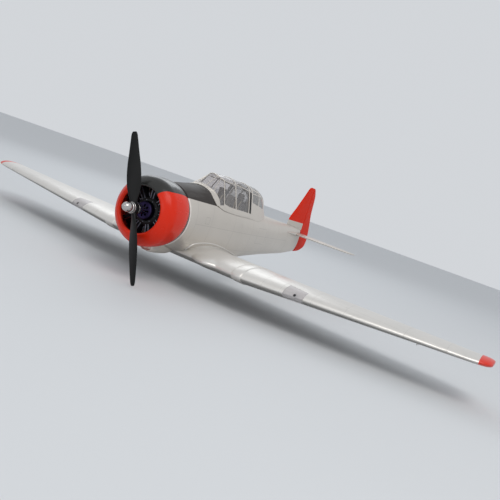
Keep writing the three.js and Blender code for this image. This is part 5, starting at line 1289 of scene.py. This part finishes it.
def shell(name, G, h_out, h_in):
    """Closed skin: the grid pushed out by h_out and in by h_in along its normals."""
    N = grid_normals(G)
    A, B = G + N * h_out, G - N * h_in
    n0, n1 = G.shape[:2]
    off = n0 * n1
    verts = np.concatenate([A.reshape(-1, 3), B.reshape(-1, 3)])
    idx = lambda i, j: i * n1 + j
    faces = []
    for i in range(n0 - 1):
        for j in range(n1 - 1):
            q = (idx(i, j), idx(i, j + 1), idx(i + 1, j + 1), idx(i + 1, j))
            faces += [q, tuple(off + k for k in q[::-1])]
    for i in range(n0 - 1):
        for j, fl in ((0, 1), (n1 - 1, 0)):
            q = (idx(i, j), idx(i + 1, j), off + idx(i + 1, j), off + idx(i, j))
            faces.append(q)
    for j in range(n1 - 1):
        for i in (0, n0 - 1):
            faces.append((idx(i, j), idx(i, j + 1), off + idx(i, j + 1), off + idx(i, j)))
    return make(name, verts, faces)


def shell_data(G, N, h_out, h_in):
    A, B = G + N * h_out, G - N * h_in
    n0, n1 = G.shape[:2]
    off = n0 * n1
    verts = np.concatenate([A.reshape(-1, 3), B.reshape(-1, 3)])
    faces = []
    for i in range(n0 - 1):
        for j in range(n1 - 1):
            q = (i * n1 + j, i * n1 + j + 1, (i + 1) * n1 + j + 1, (i + 1) * n1 + j)
            faces += [q, tuple(off + k for k in q[::-1])]
    for i in range(n0 - 1):
        for j in (0, n1 - 1):
            faces.append((i * n1 + j, (i + 1) * n1 + j, off + (i + 1) * n1 + j, off + i * n1 + j))
    for j in range(n1 - 1):
        for i in (0, n0 - 1):
            faces.append((i * n1 + j, i * n1 + j + 1, off + i * n1 + j + 1, off + i * n1 + j))
    return verts, faces


glass = shell("canopy_glazing_fine", GR, 0.0, 0.9)
done(glass, "canopy_hatch", clear, ["canopy_glazing"], 50)
fairing = shell("canopy_rear_fairing_fine", FR, 0.0, SKIN)
done(fairing, "canopy_hatch", fairing_mat, ["canopy_rear_fairing"], 50)

GN = grid_normals(GR)


def sample(ga, gt):
    """Point and normal on the glazing at fractional ring index and fractional point index."""
    i, j = min(max(ga, 0), GR.shape[0] - 1.0001), min(max(gt, 0), GR.shape[1] - 1.0001)
    i0, j0 = int(i), int(j)
    a, b = i - i0, j - j0
    f = lambda G: (G[i0, j0] * (1 - a) * (1 - b) + G[i0 + 1, j0] * a * (1 - b) + G[i0, j0 + 1] * (1 - a) * b + G[i0 + 1, j0 + 1] * a * b)
    n = f(GN)
    return f(GR), n / np.linalg.norm(n)


def patch(i0, i1, j0, j1, ni, nj, h=1.05, low=-0.12, slant=0.0):
    G, N = np.zeros((ni, nj, 3)), np.zeros((ni, nj, 3))
    for a, i in enumerate(np.linspace(i0, i1, ni)):
        for b, j in enumerate(np.linspace(j0, j1, nj)):
            G[a, b], N[a, b] = sample(i, j + slant * (i - i0) / max(1e-9, i1 - i0))
    # rounded cross-section: the outer rows sit lower
    A = G + N * h
    edge_i = np.minimum(np.arange(ni), np.arange(ni)[::-1])[:, None]
    edge_j = np.minimum(np.arange(nj), np.arange(nj)[::-1])[None, :]
    lowrow = np.where((edge_i == 0) | (edge_j == 0), h * 0.45, 0.0)
    G2, N2 = G, N
    v, f = shell_data(G2, N2, 0, -low if low < 0 else 0)
    n = ni * nj
    v[:n] = (G + N * (h - lowrow)[:, :, None]).reshape(-1, 3)
    v[n:] = (G + N * 0.02).reshape(-1, 3)
    return v, f


def index_at_x(x_target, j=50):
    """Fractional ring index where the ridge line crosses a given x."""
    xs = GR[:, j, 0]
    for i in range(len(xs) - 1):
        if xs[i] >= x_target >= xs[i + 1]:
            return i + (xs[i] - x_target) / max(1e-9, xs[i] - xs[i + 1])
    return 0 if x_target > xs[0] else len(xs) - 1


NP_ = GR.shape[1]              # 101 points: 0 and 100 at the sills, 50 at the ridge
i_hoop = len(front_as) - 1
frames = []
wide = 60
# front hoop, running over the top of the windshield
frames.append(patch(i_hoop - 0.35, i_hoop + 0.85, 0, NP_ - 1, 5, 121, 0.95))
# second and third frames
im = index_at_x(X(2.92))
frames.append(patch(im - 0.05, im + 0.95, 0, NP_ - 1, 5, 121, 0.95))
ir = index_at_x(X(3.615))
frames.append(patch(ir, ir + 1.05, 0, NP_ - 1, 5, 121, 0.95))
for k in (0, 1):
    J = (lambda j: j) if k == 0 else (lambda j: NP_ - 1 - j)
    # sill rail, roof rail, windshield posts, base of the windshield
    frames.append(patch(i_hoop, GR.shape[0] - 1.001, J(0.0), J(3.9), wide, 5, 1.05))
    frames.append(patch(0.0, i_hoop + 0.5, J(0.0), J(3.0), 20, 5, 1.05))
    frames.append(patch(i_hoop, GR.shape[0] - 1.001, J(19.3), J(20.5), wide, 5, 0.85))
    frames.append(patch(0.0, i_hoop, J(39.5), J(41.2), 24, 5, 0.95))
    frames.append(patch(0.0, i_hoop, J(20.6), J(22.2), 24, 5, 0.95, slant=(7.6 if k == 0 else -7.6)))
frames.append(patch(0.0, 1.35, 0, NP_ - 1, 5, 121, 1.05))
# dark strips on the glazing: behind the front hoop a joint line darkened further as painted shade, and at the rear
# sides painted shade where the canopy's inside falls dark
seal_and_shade_strips = [patch(i_hoop + 0.95, i_hoop + 1.75, 2.5, NP_ - 3.5, 4, 121, 0.45), patch(ir + 1.25, ir + 3.75, 3.2, 20.0, 6, 40, 0.40), patch(ir + 1.25, ir + 3.75, NP_ - 1 - 3.2, NP_ - 1 - 20.0, 6, 40, 0.40)]
seal_and_shade_o = merged("canopy_seals_and_painted_shade", seal_and_shade_strips)
done(seal_and_shade_o, "canopy_hatch", black_seal_and_shade, angle=45)
# apron between the windshield foot and the deck
foot_ring, rim_h = full_ring(0.0), np.array(RIM)
rm = rim_h[:-1][::-1].copy()
rm[:, 1] *= -1
rim_pts = catmull(np.concatenate([rim_h, rm]), 10)
rim_ring = np.stack([X(rim_pts[:, 0]), rim_pts[:, 1] * K, THRUST_Z + rim_pts[:, 2] * K], 1)
AP = np.array([rim_ring + (foot_ring - rim_ring) * t + np.array([0, 0, 0.6]) * math.sin(math.pi * t) for t in np.linspace(0, 1.0, 7)])
AN = grid_normals(AP)
if AN[3, 50, 2] < 0:
    AN = -AN
frames.append(shell_data(AP, AN, 0.9, 0.3))
frame_o = merged("canopy_frame_fine", frames)
done(frame_o, "canopy_hatch", silver, ["canopy_frame"], 45)

# seats: cushioned pan and back with a headrest, made as one padded form each
FLOOR_Z = Z(0.12) + 1.4 + GAP


for s, tag in ((2.78, "front"), (3.72, "rear")):
    parts = [rounded_box_data((X(s) + 2.6, -14.4, FLOOR_Z + 2.6), (X(s - 0.34) - 0.4, 14.4, FLOOR_Z + 6.8), 1.8, 4),
             rounded_box_data((X(s) + 1, -15, FLOOR_Z), (X(s - 0.34), 15, FLOOR_Z + 2.4), 0.7, 2)]
    for sy in (-1, 1):
        parts.append(rounded_box_data((X(s) + 2.2, min(sy * 12.0, sy * 15.0), FLOOR_Z + 5.6), (X(s - 0.30), max(sy * 12.0, sy * 15.0), FLOOR_Z + 8.4), 1.0, 3))
    # back, leaning aft with height
    L = Z(0.70) - FLOOR_Z
    lean = Matrix.Translation((X(s) - 0.5, 0, FLOOR_Z)) @ Matrix.Rotation(-math.atan2(0.09 * K, L), 4, "Y")
    parts.append(moved(rounded_box_data((-2.4, -15, 0.5), (2.4, 15, L - 0.4), 2.0, 4), lean))
    parts.append(moved(rounded_box_data((1.4, -11.5, 8.0), (3.2, 11.5, L - 5.0), 0.85, 3), lean))
    hb = X(s + 0.10)
    parts.append(rounded_box_data((hb - 2.9, -6.8, Z(0.685)), (hb + 2.9, 6.8, Z(0.858)), 2.1, 4))
    o = merged(f"{tag}_seat_fine", parts)
    done(o, "canopy_hatch", hide, [f"{tag}_seat"], 50)
    # harness straps over the back
    sp = []
    for sy in (-1, 1):
        pts = [np.array((-2.9 + 0.0, sy * 5.0, L * 0.55)), np.array((-2.8, sy * 5.0, L * 0.98)), np.array((0.0, sy * 5.0, L + 0.2)), np.array((3.4, sy * 5.0, L * 0.95)), np.array((3.9, sy * 4.4, L * 0.5)), np.array((4.6, sy * 3.6, L * 0.22))]
        c = catmull(pts, 5)
        rings = []
        for q in c:
            rings.append([(q[0] - 0.0, q[1] - 1.3, q[2] - 0.3), (q[0], q[1] + 1.3, q[2] - 0.3), (q[0] + 0.5, q[1] + 1.3, q[2] + 0.3), (q[0] + 0.5, q[1] - 1.3, q[2] + 0.3)])
        sp.append(moved(loft_data(rings), lean))
    so = merged(f"{tag}_seat_harness", sp)
    done(so, "canopy_hatch", plastic(f"harness_{tag}", (0.34, 0.30, 0.22), 0.85, 1500.0, 0.00006, 0.0, 0.3), angle=40)

# instrument coaming with a panel of dials facing aft
co_poly = [[0.33, 0.40], [0.33, 0.52], [0.27, 0.62], [0.14, 0.69], [-0.14, 0.69], [-0.27, 0.62], [-0.33, 0.52], [-0.33, 0.40]]
flange = Z(sill_z(2.2)) + GAP + 1.6 + GAP
co = catmull(co_poly[1:-1], 6)
ring = [(y * K, THRUST_Z + z * K) for y, z in co]
ring = [(0.33 * K, flange)] + ring + [(-0.33 * K, flange)]
coam = loft("coaming_fine", [[(x, y * k, z if z <= flange + 0.01 else flange + (z - flange) * k) for y, z in ring] for x, k in ((X(2.20), 0.97), (X(2.20) - 0.6, 1.0), (X(2.34) + 0.5, 1.0), (X(2.34), 0.98))])
done(coam, "canopy_hatch", pit_dark, ["instrument_coaming"], 40)
dials, faces_ = [], []
for y, z, r in ((-16, 106.5, 3.2), (-8, 107, 3.2), (0, 107, 3.4), (8, 107, 3.2), (16, 106.5, 3.2), (-12, 113.5, 2.6), (-5, 114.2, 2.6), (5, 114.2, 2.6), (12, 113.5, 2.6)):
    x0 = X(2.34)
    dials.append(lathe_data([(x0 + 0.2, 0), (x0 + 0.2, r), (x0 - 0.6, r), (x0 - 0.7, r - 0.3), (x0 - 0.25, r - 0.55), (x0 - 0.2, 0)], n=28, centre=(0, y, z)))
d_o = merged("instrument_dials", dials)
done(d_o, "canopy_hatch", plastic("dial_bezels", (0.30, 0.29, 0.27), 0.35, 700.0, 0.00002, 0.3, 0.5), angle=40)

# cockpit tub keeps its CAD form with softened edges
for n, mat in (("cockpit_tub", pit_grey),):
    NODES[n].data.materials.clear()
    NODES[n].data.materials.append(mat)

# ------------------------------------------------------------------ CAD nodes shown as they are, with procedural finishes and eased edges
FINISH = {
    "wing_spar_tube": carbon, "firewall": wood, "servo_tray": wood, "battery_tray": wood, "hatch_keeper_strip": wood,
    "motor_mount": pit_dark, "motor_base": alu_dark, "battery": wrap_blue, "speed_controller": wrap_blue, "battery_strap": strap,
    "receiver": servo_blue, "elevator_servo": servo_blue, "rudder_servo": servo_blue, "left_aileron_servo": servo_blue, "right_aileron_servo": servo_blue,
    "left_aileron_horn": nylon, "right_aileron_horn": nylon, "elevator_horn": nylon, "rudder_horn": nylon,
    "left_aileron_servo_arm": nylon, "right_aileron_servo_arm": nylon, "elevator_servo_arm": nylon, "rudder_servo_arm": nylon,
    "elevator_joiner": wire, "hatch_magnet": nickel,
}
for n, mat in FINISH.items():
    o = NODES[n]
    o.data.materials.clear()
    o.data.materials.append(mat)
    if n not in ("wing_spar_tube", "elevator_joiner", "hatch_magnet"):
        b = o.modifiers.new("eased", "BEVEL")
        b.width, b.segments, b.limit_method, b.angle_limit = 0.00035, 2, "ANGLE", math.radians(40)

# pushrods: smooth wire tube straight between the rod's two ends
for n, body in (("left_aileron_pushrod", "left_aileron_rod"), ("right_aileron_pushrod", "right_aileron_rod"), ("elevator_pushrod", "elevator_rod"), ("rudder_pushrod", "rudder_rod")):
    co_ = np.array([v.co for v in NODES[n].data.vertices]) * 1000
    # the rod's two ends: means of the vertices nearest each extreme along its longest direction
    c0 = co_.mean(0)
    _, _, vt = np.linalg.svd(co_ - c0)
    t = (co_ - c0) @ vt[0]
    a, b = co_[t < t.min() + 2.0].mean(0), co_[t > t.max() - 2.0].mean(0)
    o = merged(n + "_fine", [tube_data([a + (b - a) * q for q in np.linspace(0, 1, 12)], 0.75, 16)])
    done(o, body, wire, [n], 40)

# ------------------------------------------------------------------ floor, light, camera
floor_z = -0.0462
fl = make("studio_floor", *lathe_data([(floor_z * 1000, 0.0)] + [(floor_z * 1000, r_) for r_ in (150.0, 400.0, 900.0, 2000.0, 5000.0, 12000.0)], n=96, axis="Z", centre=(0, 0, 0)))
fm = Mat("studio_floor_paint")
fn_ = fm.noise(3.0, 4.0)
fm.set(color=fm.tint((0.62, 0.635, 0.65), fn_, 0.03), rough=fm.add(0.75, fm.mul(fn_, 0.1)), normal=fm.bump(fm.noise(400.0), 0.0001, 0.2))
fl.data.materials.append(fm.m)

w = bpy.data.worlds.new("studio")
SCENE.world = w
w.use_nodes = True
w.node_tree.nodes["Background"].inputs[0].default_value = (0.90, 0.93, 0.97, 1)
w.node_tree.nodes["Background"].inputs[1].default_value = 0.72


def area(name, loc, target, size, power, colour=(1, 1, 1)):
    l = bpy.data.lights.new(name, "AREA")
    l.shape, l.size, l.size_y, l.energy, l.color = "RECTANGLE", size[0], size[1], power, colour
    o = bpy.data.objects.new(name, l)
    SCENE.collection.objects.link(o)
    o.location = loc
    o.rotation_euler = (Vector(target) - Vector(loc)).to_track_quat("-Z", "Y").to_euler()
    return o


area("key_softbox", (0.9, 1.1, 1.9), (0.0, 0.0, 0.06), (1.2, 1.2), 17, (1.0, 0.98, 0.95))
area("front_fill", (2.2, 0.4, 0.7), (0.1, 0.0, 0.06), (1.0, 0.8), 3, (0.95, 0.98, 1.0))
area("rim_softbox", (-1.6, -1.2, 1.5), (-0.1, 0.0, 0.06), (1.6, 1.0), 8, (0.93, 0.97, 1.0))

cam = bpy.data.cameras.new("photo_camera")
cam_o = bpy.data.objects.new("photo_camera", cam)
SCENE.collection.objects.link(cam_o)
az, el, roll = 0.43472, 0.08893, 0.34342
d = np.array([math.cos(el) * math.cos(az), math.cos(el) * math.sin(az), math.sin(el)])
fw = -d
r = np.cross(fw, [0, 0, 1.0])
r /= np.linalg.norm(r)
u = np.cross(r, fw)
r2 = math.cos(roll) * r + math.sin(roll) * u
u2 = -math.sin(roll) * r + math.cos(roll) * u
Cm = Vector((0.97232, 0.55319, 0.14478))
cam_o.matrix_world = Matrix.Translation(Cm) @ Matrix(((r2[0], u2[0], -fw[0]), (r2[1], u2[1], -fw[1]), (r2[2], u2[2], -fw[2]))).to_4x4()
cam.sensor_width = 36.0
cam.lens = 45.287
cam.clip_start, cam.clip_end = 0.01, 60.0
SCENE.camera = cam_o
SCENE.view_settings.view_transform = "Standard"
SCENE.view_settings.look = "None"
SCENE.view_settings.exposure = 0.0
